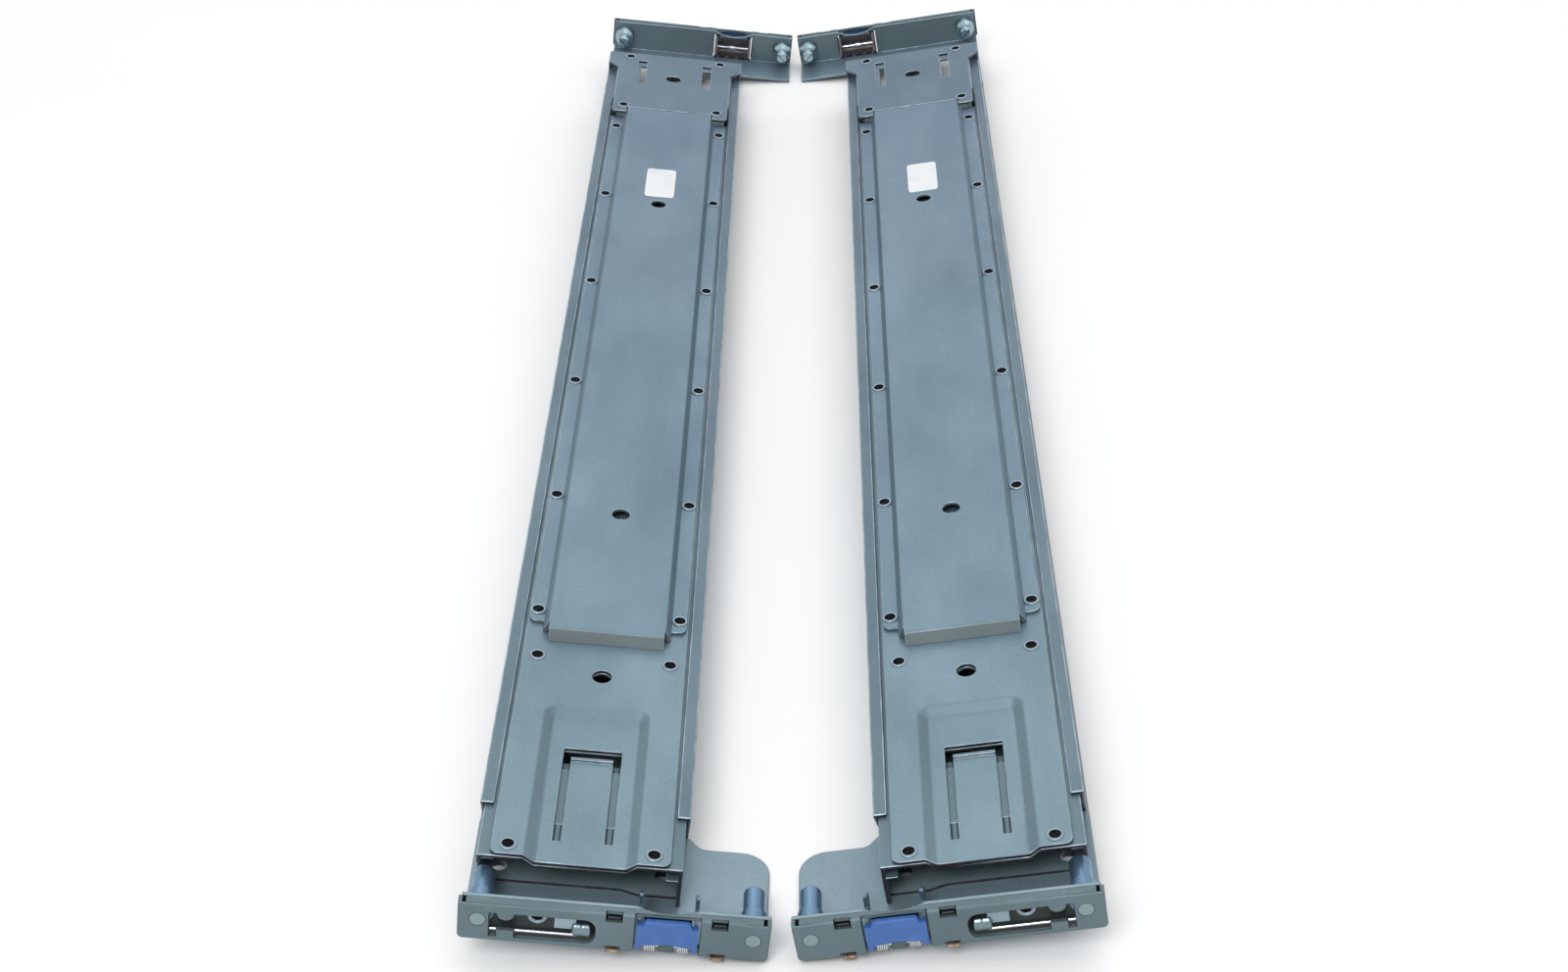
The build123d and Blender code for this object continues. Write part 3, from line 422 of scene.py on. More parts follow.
@dataclass(frozen=True)
class ZincSheet:
    """Rolled sheet steel with a bluish zinc coat: grain, soft blotches, fine rubs and dark cut edges. Painted
    shade darkens it towards the rear, and can darken its tilted flanks and tone its walls that look to the
    front.

    At a latch, the tips of the flange past tip_y are brassy below foot_level and away from the latch's
    middle, and greenish below knuckle_level close to it; the rest of the tips is painted near-black, as
    painted shade. Each pair of values is the short span over which one tone gives way to the next.
    """

    name: str
    place: RailPlace
    color: Color = rgb(113, 137, 149)
    # far colour: painted shade, the darker, bluer colour the sheet takes towards the rear
    far_shade_color: Color = rgb(101, 122, 142)
    edge: Color = rgb(58, 52, 60)
    sheared: Sheared = Sheared.NONE
    roughness: float = 0.46
    bend_radius: float = 0.0
    # front tone: painted shade on the walls that look to the front
    front_shade_tone: Color | None = None
    brass_end: End | None = None
    # flank factor: painted shade that darkens faces tilted from the sheet's plane
    flank_shade: float = 1.0
    tip_y: tuple[float, float] = (0.3004, 0.3008)
    latch_x: float = LATCH_X * MM
    foot_level: tuple[float, float] = (-0.0166, -0.0163)
    foot_aside: tuple[float, float] = (0.004, 0.005)
    knuckle_level: tuple[float, float] = (-0.0132, -0.0129)
    knuckle_aside: tuple[float, float] = (0.0026, 0.003)

    def base(self, g: Graph) -> tuple[Socket, ...]:
        """Colour of the flat sheet: blotches, grain, specks and rubs over painted shade that darkens it
        slowly along Y, towards the rear.

        Args:
            g: the material's graph.

        Returns:
            The colour, the blotches and the height of grain and specks.
        """
        clouds = g.noise((34, 16, 34), 5)
        grain = g.noise((1500, 22, 1500), 3)
        specks = g.noise((900, 700, 900), 2)
        rub = g.noise((60, 1400, 60), 2, 0.5)
        # painted shade: the sheet goes from its colour at the front to a darker, bluer far colour at the rear
        plain = g.mix(g.span(g.depth(), -0.28, 0.28, 0, 1), self.color, self.far_shade_color)
        darker = g.mix(g.span(clouds, 0.35, 0.68, 0, 1), (1, 1, 1, 1), (0.84, 0.86, 0.87, 1))
        color = g.mix(1.0, plain, darker, "MULTIPLY")
        lighter = g.mix(g.span(grain, 0.42, 0.72, 0, 0.35), (1, 1, 1, 1), (1.14, 1.14, 1.13, 1))
        color = g.mix(1.0, color, lighter, "MULTIPLY")
        pits = g.mix(g.span(specks, 0.56, 0.78, 0, 0.7), (1, 1, 1, 1), (0.82, 0.82, 0.82, 1))
        color = g.mix(1.0, color, pits, "MULTIPLY")
        color = g.mix(g.span(rub, 0.68, 0.8, 0, 0.3), color, rgb(150, 170, 180))
        height = g.math("ADD", g.math("MULTIPLY", grain, 0.5), g.math("MULTIPLY", specks, 0.5))
        return color, clouds, height

    def shade_front_walls(self, g: Graph, color: Socket, clouds: Socket) -> Socket:
        """Paint shade on the walls that look to the front: they take a tone of their own, for how light falls
        on them.

        Args:
            g: the material's graph.
            color: the colour so far.
            clouds: the blotches.

        Returns:
            The colour with the toned walls.
        """
        darker = tuple(c * 0.8 for c in self.front_shade_tone[:3]) + (1.0,)
        tone = g.mix(g.span(clouds, 0.35, 0.7, 0, 1), self.front_shade_tone, darker)
        # painted shade: faces that look to the front take the front tone
        return g.mix(g.span(g.toward((0, -1, 0)), 0.45, 0.8, 0, 1), color, tone)

    def bare_edges(self, g: Graph, color: Socket) -> Socket:
        """Darken the sheared edges: the ends of the sheet, or all that stands square to it.

        Args:
            g: the material's graph.
            color: the colour so far.

        Returns:
            The colour with the bare edges.
        """
        if self.sheared is Sheared.ENDS:
            bare = g.span(g.facing((0, 1, 0)), 0.9, 0.99, 0, 1)
        else:
            bare = g.span(g.facing(self.place.outward()), 0.12, 0.3, 1, 0)
        streak = g.noise((420, 420, 90), 3)
        return g.mix(bare, color, g.mix(g.span(streak, 0.4, 0.7, 0, 0.6), self.edge, rgb(92, 94, 102)))

    def latch_end(self, g: Graph, color: Socket) -> Socket:
        """Colour the tips of the flange at the latch: brassy feet, a green knuckle and near-black painted
        shade on the lugs.

        Args:
            g: the material's graph.
            color: the colour so far.

        Returns:
            The colour with the tips.
        """
        level = g.along(self.place, (0.0, 0.0, 1.0))
        near, far = self.tip_y
        tip = (g.span(g.depth(), -far, -near, 1, 0) if self.brass_end is End.FRONT
               else g.span(g.depth(), near, far, 0, 1))
        aside = g.math("ABSOLUTE", g.math("SUBTRACT", g.along(self.place, (1.0, 0.0, 0.0)), self.latch_x))
        low = g.math("MULTIPLY", g.span(level, *self.foot_level, 1, 0), g.span(aside, *self.foot_aside, 0, 1))
        stain = g.noise((700, 700, 700), 3)
        brass = g.mix(g.span(stain, 0.4, 0.65, 0, 1), rgb(178, 156, 128), rgb(122, 94, 76))
        knuckle = g.math("MULTIPLY", g.span(level, *self.knuckle_level, 1, 0),
                         g.span(aside, *self.knuckle_aside, 1, 0))
        # painted shade: near-black on the tips away from the feet and the knuckle
        inside = g.mix(knuckle, rgb(13, 14, 16), rgb(84, 98, 92))
        return g.mix(tip, color, g.mix(low, inside, brass))

    def material(self) -> bpy.types.Material:
        """Build the node tree.

        Returns:
            The finished material.
        """
        g = Graph(self.name)
        color, clouds, height = self.base(g)
        if self.front_shade_tone is not None:
            color = self.shade_front_walls(g, color, clouds)
        # painted shade: faces tilted away from the sheet's plane are darkened by the flank factor
        if self.flank_shade < 1.0:
            tilt = g.span(g.facing(self.place.outward()), 0.86, 0.97, 1, 0)
            shaded = g.mix(1.0, color, (self.flank_shade, self.flank_shade, self.flank_shade, 1), "MULTIPLY")
            color = g.mix(tilt, color, shaded)
        if self.sheared is not Sheared.NONE:
            color = self.bare_edges(g, color)
        if self.brass_end is not None:
            color = self.latch_end(g, color)
        rough = g.span(clouds, 0.3, 0.7, self.roughness - 0.07, self.roughness + 0.09)
        feed = {"Strength": 0.07, "Distance": 0.0002, "Height": height}
        if self.bend_radius > 0:
            feed["Normal"] = g.node("Bevel", {"Radius": self.bend_radius}, samples=6).outputs[0]
        bump = g.node("Bump", feed)
        shader = g.node("BsdfPrincipled", {"Base Color": color, "Metallic": 0.42, "Roughness": rough,
                                           "Specular IOR Level": 0.4, "Normal": bump.outputs[0]})
        return g.finish(shader)


@dataclass(frozen=True)
class EdgeHighlightAndWear:
    """Broken edge of a zinc sheet: a painted highlight where it looks outwards, with wear noise between its
    dull and bright colours, and painted shade where it looks down.
    """

    name: str
    place: RailPlace
    bright: Color = rgb(160, 178, 188)
    dull: Color = rgb(122, 144, 156)
    under: Color = rgb(58, 58, 66)

    def material(self) -> bpy.types.Material:
        """Build the node tree.

        Returns:
            The finished material.
        """
        g = Graph(self.name)
        wear = g.noise((260, 110, 260), 4)
        up = g.toward(self.place.outward())
        worn = g.mix(g.span(wear, 0.4, 0.62, 0, 1), self.dull, self.bright)
        # painted highlight on faces that look outwards and painted shade (the under colour) on faces that
        # look down
        color = g.mix(g.span(up, -0.05, 0.35, 0, 1), self.under, worn)
        rough = g.span(wear, 0.35, 0.7, 0.42, 0.28)
        bump = g.node("Bump", {"Strength": 0.08, "Distance": 0.0001, "Height": wear})
        shader = g.node("BsdfPrincipled", {"Base Color": color, "Metallic": 0.55, "Roughness": rough,
                                           "Normal": bump.outputs[0]})
        return g.finish(shader)


@dataclass(frozen=True)
class BrightMetal:
    """Turned or drawn metal with a bright coat: fine turning marks and small dull patches.

    Where it has a tail colour, that one takes over beyond tail_y.
    """

    name: str
    color: Color
    roughness: float = 0.24
    metallic: float = 0.9
    edge_radius: float = 0.00015
    tail_color: Color | None = None
    tail_y: tuple[float, float] = (-0.3033, -0.3030)

    def material(self) -> bpy.types.Material:
        """Build the node tree.

        Returns:
            The finished material.
        """
        g = Graph(self.name)
        marks = g.noise((300, 2600, 300), 3)
        patches = g.noise((260, 260, 260), 4)
        dull = tuple(c * 0.7 for c in self.color[:3]) + (1.0,)
        color = g.mix(g.span(patches, 0.5, 0.75, 0, 0.6), self.color, dull)
        if self.tail_color is not None:
            color = g.mix(g.span(g.depth(), *self.tail_y, 1, 0), color, self.tail_color)
        rough = g.span(patches, 0.3, 0.75, self.roughness - 0.05, self.roughness + 0.16)
        rounded = g.node("Bevel", {"Radius": self.edge_radius}, samples=4).outputs[0]
        bump = g.node("Bump", {"Strength": 0.12, "Distance": 0.0001, "Height": marks, "Normal": rounded})
        shader = g.node("BsdfPrincipled", {"Base Color": color, "Metallic": self.metallic,
                                           "Roughness": rough, "Normal": bump.outputs[0]})
        return g.finish(shader)


@dataclass(frozen=True)
class MouldedPlastic:
    """Moulded blue plastic: fine spark texture and slight cloudiness towards a paler colour. Its paler copy
    on the bevelled edges is a painted highlight.
    """

    name: str
    color: Color = rgb(54, 96, 162)
    rubbed: Color = rgb(80, 122, 184)
    roughness: float = 0.42
    edge_radius: float = 0.00035

    def material(self) -> bpy.types.Material:
        """Build the node tree.

        Returns:
            The finished material.
        """
        g = Graph(self.name)
        clouds = g.noise((180, 180, 180), 4)
        spark = g.noise((5200, 5200, 5200), 2)
        color = g.mix(g.span(clouds, 0.52, 0.8, 0, 0.5), self.color, self.rubbed)
        rounded = g.node("Bevel", {"Radius": self.edge_radius}, samples=6).outputs[0]
        bump = g.node("Bump", {"Strength": 0.16, "Distance": 0.0001, "Height": spark, "Normal": rounded})
        rough = g.span(clouds, 0.3, 0.7, self.roughness - 0.06, self.roughness + 0.08)
        shader = g.node("BsdfPrincipled", {"Base Color": color, "Metallic": 0.0, "Roughness": rough,
                                           "Specular IOR Level": 0.5, "Normal": bump.outputs[0]})
        return g.finish(shader)


@dataclass(frozen=True)
class Paper:
    """Coated white label paper: faint fibres, a soft yellowing and a little unevenness."""

    name: str
    color: Color = rgb(226, 230, 232)

    def material(self) -> bpy.types.Material:
        """Build the node tree.

        Returns:
            The finished material.
        """
        g = Graph(self.name)
        fibre = g.noise((2400, 900, 2400), 3)
        stain = g.noise((120, 90, 120), 3)
        color = g.mix(g.span(stain, 0.5, 0.75, 0, 0.7), self.color, rgb(208, 214, 216))
        color = g.mix(g.span(fibre, 0.6, 0.8, 0, 0.3), color, rgb(196, 202, 206))
        bump = g.node("Bump", {"Strength": 0.08, "Distance": 0.0001, "Height": fibre})
        shader = g.node("BsdfPrincipled", {"Base Color": color, "Roughness": 0.55,
                                           "Normal": bump.outputs[0]})
        return g.finish(shader)


@dataclass(frozen=True)
class BorePaint:
    """Unlit inside of a hollow rivet: nearly black with grey smears."""

    name: str

    def material(self) -> bpy.types.Material:
        """Build the node tree.

        Returns:
            The finished material.
        """
        g = Graph(self.name)
        smear = g.noise((900, 900, 900), 3)
        color = g.mix(g.span(smear, 0.5, 0.8, 0, 1), rgb(8, 10, 14), rgb(40, 44, 50))
        shader = g.node("BsdfPrincipled", {"Base Color": color, "Roughness": 0.8, "Specular IOR Level": 0.1})
        return g.finish(shader)


class Finishes:
    """All finishes of one rail, built once."""

    def __init__(self, place: RailPlace) -> None:
        """Build the materials for one rail.

        Args:
            place: the rail's place, which gives the direction of its plates.
        """
        tag = place.side.value
        # plate and hat: the flank factors are painted shade on their tilted flanks
        self.plate = ZincSheet(f"zinc_plate_{tag}", place, color=rgb(117, 140, 152),
                               sheared=Sheared.ALL_ROUND, flank_shade=0.84).material()
        self.hat = ZincSheet(f"zinc_stiffener_{tag}", place, front_shade_tone=rgb(114, 127, 130),
                             flank_shade=0.9).material()
        # the far colours here and below are painted shade towards the rear end
        self.rear_plate = ZincSheet(f"zinc_rear_plate_{tag}", place, far_shade_color=rgb(90, 111, 129),
                                    sheared=Sheared.ENDS).material()
        self.folded = ZincSheet(f"zinc_folded_{tag}", place, color=rgb(100, 121, 131),
                                far_shade_color=rgb(91, 110, 127), sheared=Sheared.ENDS).material()
        # hat, bracket and rear bracket: their front tones are painted shade on walls that look to the front;
        # near-black on the bracket, so its windows look dark
        self.bracket = ZincSheet(f"zinc_bracket_{tag}", place, color=rgb(134, 155, 166),
                                 front_shade_tone=rgb(50, 57, 58), brass_end=End.FRONT).material()
        self.rear_bracket = ZincSheet(f"zinc_rear_bracket_{tag}", place, far_shade_color=rgb(118, 138, 153),
                                      front_shade_tone=rgb(116, 134, 140), brass_end=End.REAR).material()
        # darker colour: painted shade on the covers' faces
        self.cover = ZincSheet(f"zinc_cover_shaded_{tag}", place, color=rgb(98, 117, 123),
                               far_shade_color=rgb(90, 109, 115), roughness=0.5).material()
        self.slide = ZincSheet(f"slide_steel_{tag}", place, color=rgb(138, 146, 152),
                               far_shade_color=rgb(132, 140, 148), sheared=Sheared.ENDS, roughness=0.38,
                               bend_radius=0.0004).material()
        self.blue_peg = BrightMetal(f"blue_passivated_{tag}", rgb(104, 134, 162), 0.3, 0.75,
                                    tail_color=rgb(132, 152, 154)).material()
        self.silver_peg = BrightMetal(f"silver_plated_{tag}", rgb(152, 174, 184), 0.17).material()
        self.rivet = BrightMetal(f"rivet_rim_{tag}", rgb(140, 156, 168), 0.34, 0.6).material()
        self.wire = BrightMetal(f"spring_wire_{tag}", rgb(206, 208, 210), 0.25, 0.95, 0.00005).material()
        self.dull_wire = BrightMetal(f"dull_wire_{tag}", rgb(96, 84, 80), 0.5, 0.6, 0.00005).material()
        self.rod = BrightMetal(f"bright_rod_{tag}", rgb(226, 230, 234), 0.16, 0.95, 0.00005).material()
        self.glossy = BrightMetal(f"glossy_barrel_{tag}", rgb(120, 138, 146), 0.18, 0.9).material()
        self.hook = BrightMetal(f"blue_hook_{tag}", rgb(98, 120, 136), 0.4, 0.6).material()
        self.rear_hook = BrightMetal(f"brown_hook_{tag}", rgb(80, 74, 75), 0.45, 0.6).material()
        # painted highlight on outward edges and painted shade under them
        self.edge = EdgeHighlightAndWear(f"zinc_edge_highlight_{tag}", place).material()
        # dark rims: painted shade along the edges of the brackets and covers
        self.cut_edge = EdgeHighlightAndWear(f"zinc_cut_edge_{tag}", place, rgb(66, 78, 84), rgb(40, 48, 53)).material()
        # lighter colour: painted light that lifts the shade inside the mouth
        self.base = ZincSheet(f"zinc_base_painted_light_{tag}", place, color=rgb(142, 164, 170),
                              sheared=Sheared.ALL_ROUND).material()
        self.pad = ZincSheet(f"pale_pad_{tag}", place, color=rgb(150, 170, 180)).material()
        self.plastic = MouldedPlastic(f"blue_plastic_{tag}").material()
        # painted shade: a darker, duller copy of the plastic for the rear button
        self.plastic_far = MouldedPlastic(f"blue_plastic_far_{tag}", rgb(60, 88, 132),
                                          rgb(88, 114, 152)).material()
        # painted highlight: paler plastic on the buttons' bevelled edges
        self.plastic_edge = MouldedPlastic(f"blue_plastic_edge_{tag}", rgb(74, 116, 180),
                                           rgb(110, 146, 200), 0.34).material()
        self.paper = Paper(f"label_paper_{tag}").material()
        self.bore = BorePaint(f"dark_bore_{tag}").material()


class CadDress:
    """The CAD pieces that stay as they are and only get their finish."""

    finish_of: dict[str, str] = {
        "front_pegs": "blue_peg", "rear_pegs": "silver_peg", "base_sheet": "base",
        "front_hinge_pin": "wire", "rear_hinge_pin": "dull_wire",
        "front_hook": "hook", "rear_hook": "rear_hook", "slide_outer": "slide", "slide_middle": "slide",
        "slide_inner": "slide", "outer_ball_cage": "wire", "inner_ball_cage": "wire",
        "spacer_studs": "slide",
    }

    def __init__(self, place: RailPlace, finishes: Finishes) -> None:
        """Keep the rail's place and finishes."""
        self.place, self.finishes = place, finishes

    def dress(self) -> list[str]:
        """Give each CAD node of this rail its material.

        Returns:
            The short names of the nodes dressed.
        """
        for short, finish in self.finish_of.items():
            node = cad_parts[f"{self.place.side.value}_{short}"]
            material = getattr(self.finishes, finish)
            if not node.material_slots:
                node.data.materials.append(material)
            for slot in node.material_slots:
                slot.material = material
        return list(self.finish_of)


@dataclass
class SoftSheet:
    """A sheet piece with rounded bends and broken edges, made from a copy of the CAD mesh.

    An edge is a bend when its faces turn by bend_turns degrees, and a cut edge above that.
    Points nearer than merge metres become one.
    """

    place: RailPlace
    short: str
    finish: str
    body: str
    slot: str = "zinc"
    bend_radius: float = 1.3
    edge_radius: float = 0.22
    clamp: bool = False
    # rim: finish of the bevelled edges, a painted highlight or, on the cut edges, painted shade
    rim: str = "edge"
    merge: float = 1e-5
    flat_angle: float = math.radians(0.6)
    bend_turns: tuple[float, float] = (22, 75)
    upright_share: float = 0.8
    crease: float = math.radians(24)

    def bends(self, mesh: bpy.types.Mesh, outward: Spot) -> np.ndarray:
        """Find the edges where the sheet bends, from the angle between the two faces of each edge.

        Edges that stand square to the sheet and turn only a little are facets of round
        holes and corners, and stay.

        Args:
            mesh: the merged copy.
            outward: the direction square to the sheets.

        Returns:
            The numbers of the edges.
        """
        edge_of_loop = np.empty(len(mesh.loops), np.int32)
        mesh.loops.foreach_get("edge_index", edge_of_loop)
        totals = np.empty(len(mesh.polygons), np.int32)
        mesh.polygons.foreach_get("loop_total", totals)
        normals = np.empty(len(mesh.polygons) * 3, np.float32)
        mesh.polygons.foreach_get("normal", normals)
        normals = normals.reshape(-1, 3)
        face_of_loop = np.repeat(np.arange(len(mesh.polygons)), totals)
        order = np.argsort(edge_of_loop, kind="stable")
        pairs = face_of_loop[order].reshape(-1, 2)
        turn = np.degrees(np.arccos(np.clip((normals[pairs[:, 0]] * normals[pairs[:, 1]]).sum(1), -1, 1)))
        ends = np.empty(len(mesh.edges) * 2, np.int32)
        mesh.edges.foreach_get("vertices", ends)
        spots = np.empty(len(mesh.vertices) * 3, np.float32)
        mesh.vertices.foreach_get("co", spots)
        spots = spots.reshape(-1, 3)[ends.reshape(-1, 2)]
        along = spots[:, 1] - spots[:, 0]
        along /= np.maximum(np.linalg.norm(along, axis=1, keepdims=True), 1e-12)
        upright = np.abs(along @ np.asarray(outward)) > self.upright_share
        least, most = self.bend_turns
        return np.flatnonzero((turn > least) & (turn < most) & ~upright)

    def rounded(self) -> bpy.types.Mesh:
        """Copy, merge and round the CAD mesh; the right rail takes the left one's mesh, mirrored.

        Returns:
            The mesh with its bends rounded and its edges still sharp.
        """
        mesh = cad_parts[f"{Side.LEFT.value}_{self.short}"].data.copy()
        mesh.name = f"{self.place.side.value}_{self.short}_soft"
        work = bmesh.new()
        work.from_mesh(mesh)
        bmesh.ops.remove_doubles(work, verts=work.verts, dist=self.merge)
        bmesh.ops.dissolve_limit(work, angle_limit=self.flat_angle, verts=work.verts, edges=work.edges)
        work.to_mesh(mesh)
        chosen = self.bends(mesh, RailPlace(Side.LEFT).outward())
        if self.bend_radius > 0 and len(chosen):
            work.edges.ensure_lookup_table()
            bmesh.ops.bevel(work, geom=[work.edges[i] for i in chosen], offset=self.bend_radius * MM,
                            offset_type="OFFSET", segments=4, profile=0.5, affect="EDGES",
                            clamp_overlap=True)
            bmesh.ops.remove_doubles(work, verts=work.verts, dist=self.merge)
        if self.place.side is Side.RIGHT:
            bmesh.ops.scale(work, vec=(-1, 1, 1), verts=work.verts)
            bmesh.ops.reverse_faces(work, faces=work.faces)
        work.to_mesh(mesh)
        work.free()
        for name in [a.name for a in mesh.attributes if a.name in ("custom_normal", "sharp_edge")]:
            mesh.attributes.remove(mesh.attributes[name])
        return mesh

    def build(self, finishes: Finishes) -> bpy.types.Object:
        """Dress the rounded mesh and break its edges with a fine bevel.

        Args:
            finishes: the rail's finishes.

        Returns:
            The object that stands for the CAD node.
        """
        node_name = f"{self.place.side.value}_{self.short}"
        mesh = self.rounded()
        mesh.materials.clear()
        mesh.materials.append(getattr(finishes, self.finish))
        mesh.materials.append(getattr(finishes, self.rim))
        mesh.polygons.foreach_set("material_index", np.zeros(len(mesh.polygons), np.int32))
        mesh.shade_smooth()
        mesh.set_sharp_from_angle(angle=self.crease)
        soft = bpy.data.objects.new(f"{node_name}_soft", mesh)
        bpy.context.scene.collection.objects.link(soft)
        bevel = soft.modifiers.new("rounding", "BEVEL")
        bevel.limit_method = "ANGLE"
        bevel.angle_limit = math.radians(self.bend_turns[1])
        bevel.width = self.edge_radius * MM
        bevel.segments = 2
        bevel.material = 1
        bevel.harden_normals = True
        bevel.use_clamp_overlap = self.clamp
        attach(soft, self.body)
        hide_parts(node_name)
        return soft


@dataclass
class BodySheets:
    """The visible sheets of one rail, each a rounded copy of its CAD piece."""

    place: RailPlace

    def pieces(self) -> list[SoftSheet]:
        """List every sheet with its finish, body and radii.

        Returns:
            The sheets, in the order they are built.
        """
        front, end = self.place.body["frame"], self.place.body["rear"]
        first, last = self.place.body["front_latch"], self.place.body["rear_latch"]
        return [
            SoftSheet(self.place, "front_plate", "plate", front),
            SoftSheet(self.place, "front_channel", "folded", front, bend_radius=1.0, edge_radius=0.35),
            SoftSheet(self.place, "hat_stiffener", "hat", front, bend_radius=0.7),
            SoftSheet(self.place, "front_bracket", "bracket", front, "zinc", 0.5, 0.2, rim="cut_edge"),
            SoftSheet(self.place, "front_cover", "cover", front, "zinc", 0.5, 0.2, rim="cut_edge"),
            SoftSheet(self.place, "rear_sleeve", "folded", end, bend_radius=0.5, edge_radius=0.4),
            SoftSheet(self.place, "rear_bracket", "rear_bracket", end, bend_radius=0.5, edge_radius=0.2),
            SoftSheet(self.place, "rear_plate", "rear_plate", end, bend_radius=0.5, edge_radius=0.25),
            SoftSheet(self.place, "rear_cover", "cover", end, "zinc", 0.5, 0.2, rim="cut_edge"),
            SoftSheet(self.place, "front_button", "plastic", first, "blue", 0.6, 0.4, True, "plastic_edge"),
            SoftSheet(self.place, "rear_button", "plastic_far", last, "blue", 0.6, 0.4, True, "plastic_edge"),
        ]

    def build(self, finishes: Finishes) -> list[bpy.types.Object]:
        """Build them all, with the rail's finishes."""
        return [piece.build(finishes) for piece in self.pieces()]


@dataclass
class WindowParts:
    """What shows in the long window: thin bright rod, glossy barrel, ringed rivet and pale pad."""

    place: RailPlace
    rod_y: float = 2.1
    rod_z: float = -13.9
    rod_radius: float = 0.45
    rod_xs: tuple[float, float] = (-38.0, -10.6)
    barrel_y: float = 3.0
    barrel_z: float = -11.8
    barrel_radius: float = 2.5
    barrel_xs: tuple[float, float] = (-12.2, -6.5)
    barrel_end: float = 0.3
    barrel_taper: float = 0.75
    groove_depth: float = 0.12
    groove_share: float = 0.08
    rivet: tuple[float, float] = (-21.8, -8.4)
    rivet_radius: float = 2.9
    bore_radius: float = 1.55
    rivet_height: float = 0.78
    first_bore_cell: int = 7
    seat_y: float = 3.0
    pad: tuple[float, float, float, float] = (-17.0, -11.9, -11.0, -6.8)
    pad_y: float = 2.2

    def pad_face(self) -> np.ndarray:
        """Pale pad: rectangle rings that shrink towards the middle and come forward at the rim.

        Returns:
            A grid that wraps in its first direction.
        """
        x0, z0, x1, z1 = self.pad
        corners = np.array([[x0, z0], [x1, z0], [x1, z1], [x0, z1]])
        middle = corners.mean(0)
        share = np.array([1.0, 1.0, 0.94, 0.5, 0.0])
        depth = np.array([0.0, -0.06, -0.1, -0.1, -0.1])
        spots = middle + (corners - middle)[:, None] * share[None, :, None]
        grid = np.zeros((4, 5, 3))
        grid[..., 0], grid[..., 2] = spots[..., 0], spots[..., 1]
        grid[..., 1] = self.pad_y + depth[None]
        return grid

    def barrel(self) -> np.ndarray:
        """Half round barrel: its radius rises in a quarter ellipse at both ends, with a groove midway.

        Returns:
            A grid over the front half turn, closed at both ends.
        """
        share = np.linspace(-1, 1, 25)
        swell = np.clip((1 - np.abs(share)) / self.barrel_end, 0, 1)
        radius = self.barrel_radius * np.sqrt(1 - (1 - swell) ** 2 * self.barrel_taper)
        groove = self.groove_depth * (np.abs(share) < self.groove_share)
        radius = np.concatenate([[0.0], radius - groove, [0.0]])
        along = np.concatenate([[-1.0], share, [1.0]])
        middle = (self.barrel_xs[0] + self.barrel_xs[1]) / 2
        half = (self.barrel_xs[1] - self.barrel_xs[0]) / 2
        angle = np.linspace(math.pi / 2, 1.5 * math.pi, 25)[:, None]
        grid = np.zeros((25, len(radius), 3))
        grid[..., 0] = middle + half * along
        grid[..., 1] = self.barrel_y + radius * np.cos(angle)
        grid[..., 2] = self.barrel_z + radius * np.sin(angle)
        return grid

    def ring(self) -> np.ndarray:
        """Rivet's rolled rim, a half ellipse between its outer and bore radius, and its bore.

        Returns:
            A grid that wraps in its first direction.
        """
        middle = (self.rivet_radius + self.bore_radius) / 2
        half = (self.rivet_radius - self.bore_radius) / 2
        angle = np.linspace(0, math.pi, 9)
        rim = np.stack([middle + half * np.cos(angle), -self.rivet_height * np.sin(angle)], axis=1)
        profile = np.concatenate([rim, [[self.bore_radius * 0.95, -0.05], [0.0, -0.05]]])
        return revolved(profile, (self.rivet[0], self.seat_y, self.rivet[1]), Axis.Y, 28)

    def build(self, finishes: Finishes) -> bpy.types.Object:
        """Make rod, barrel and rivet as one piece that stands for the CAD lock rod.

        Args:
            finishes: the rail's finishes.

        Returns:
            The object.
        """
        node = f"{self.place.side.value}_lock_rod"
        piece = Piece(f"{node}_turned", self.place)
        middle = sum(self.rod_xs) / 2
        half = (self.rod_xs[1] - self.rod_xs[0]) / 2
        profile = np.array([[0, -half], [self.rod_radius - 0.1, -half], [self.rod_radius, 0.1 - half],
                            [self.rod_radius, half - 0.1], [self.rod_radius - 0.1, half], [0, half]])
        piece.lattice(revolved(profile, (middle, self.rod_y, self.rod_z), Axis.X, 20), wrap_u=True)
        piece.lattice(self.barrel(), slot=1)
        ring = self.ring()
        cells = np.arange(ring.shape[1] - 1)
        inside = np.broadcast_to(cells >= self.first_bore_cell, (ring.shape[0], len(cells)))
        piece.lattice(ring, wrap_u=True, slot=np.where(inside, 3, 2))
        piece.lattice(self.pad_face(), wrap_u=True, slot=4)
        built = piece.build([finishes.rod, finishes.glossy, finishes.rivet, finishes.bore, finishes.pad])
        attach(built, self.place.body["frame"])
        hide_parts(node)
        return built


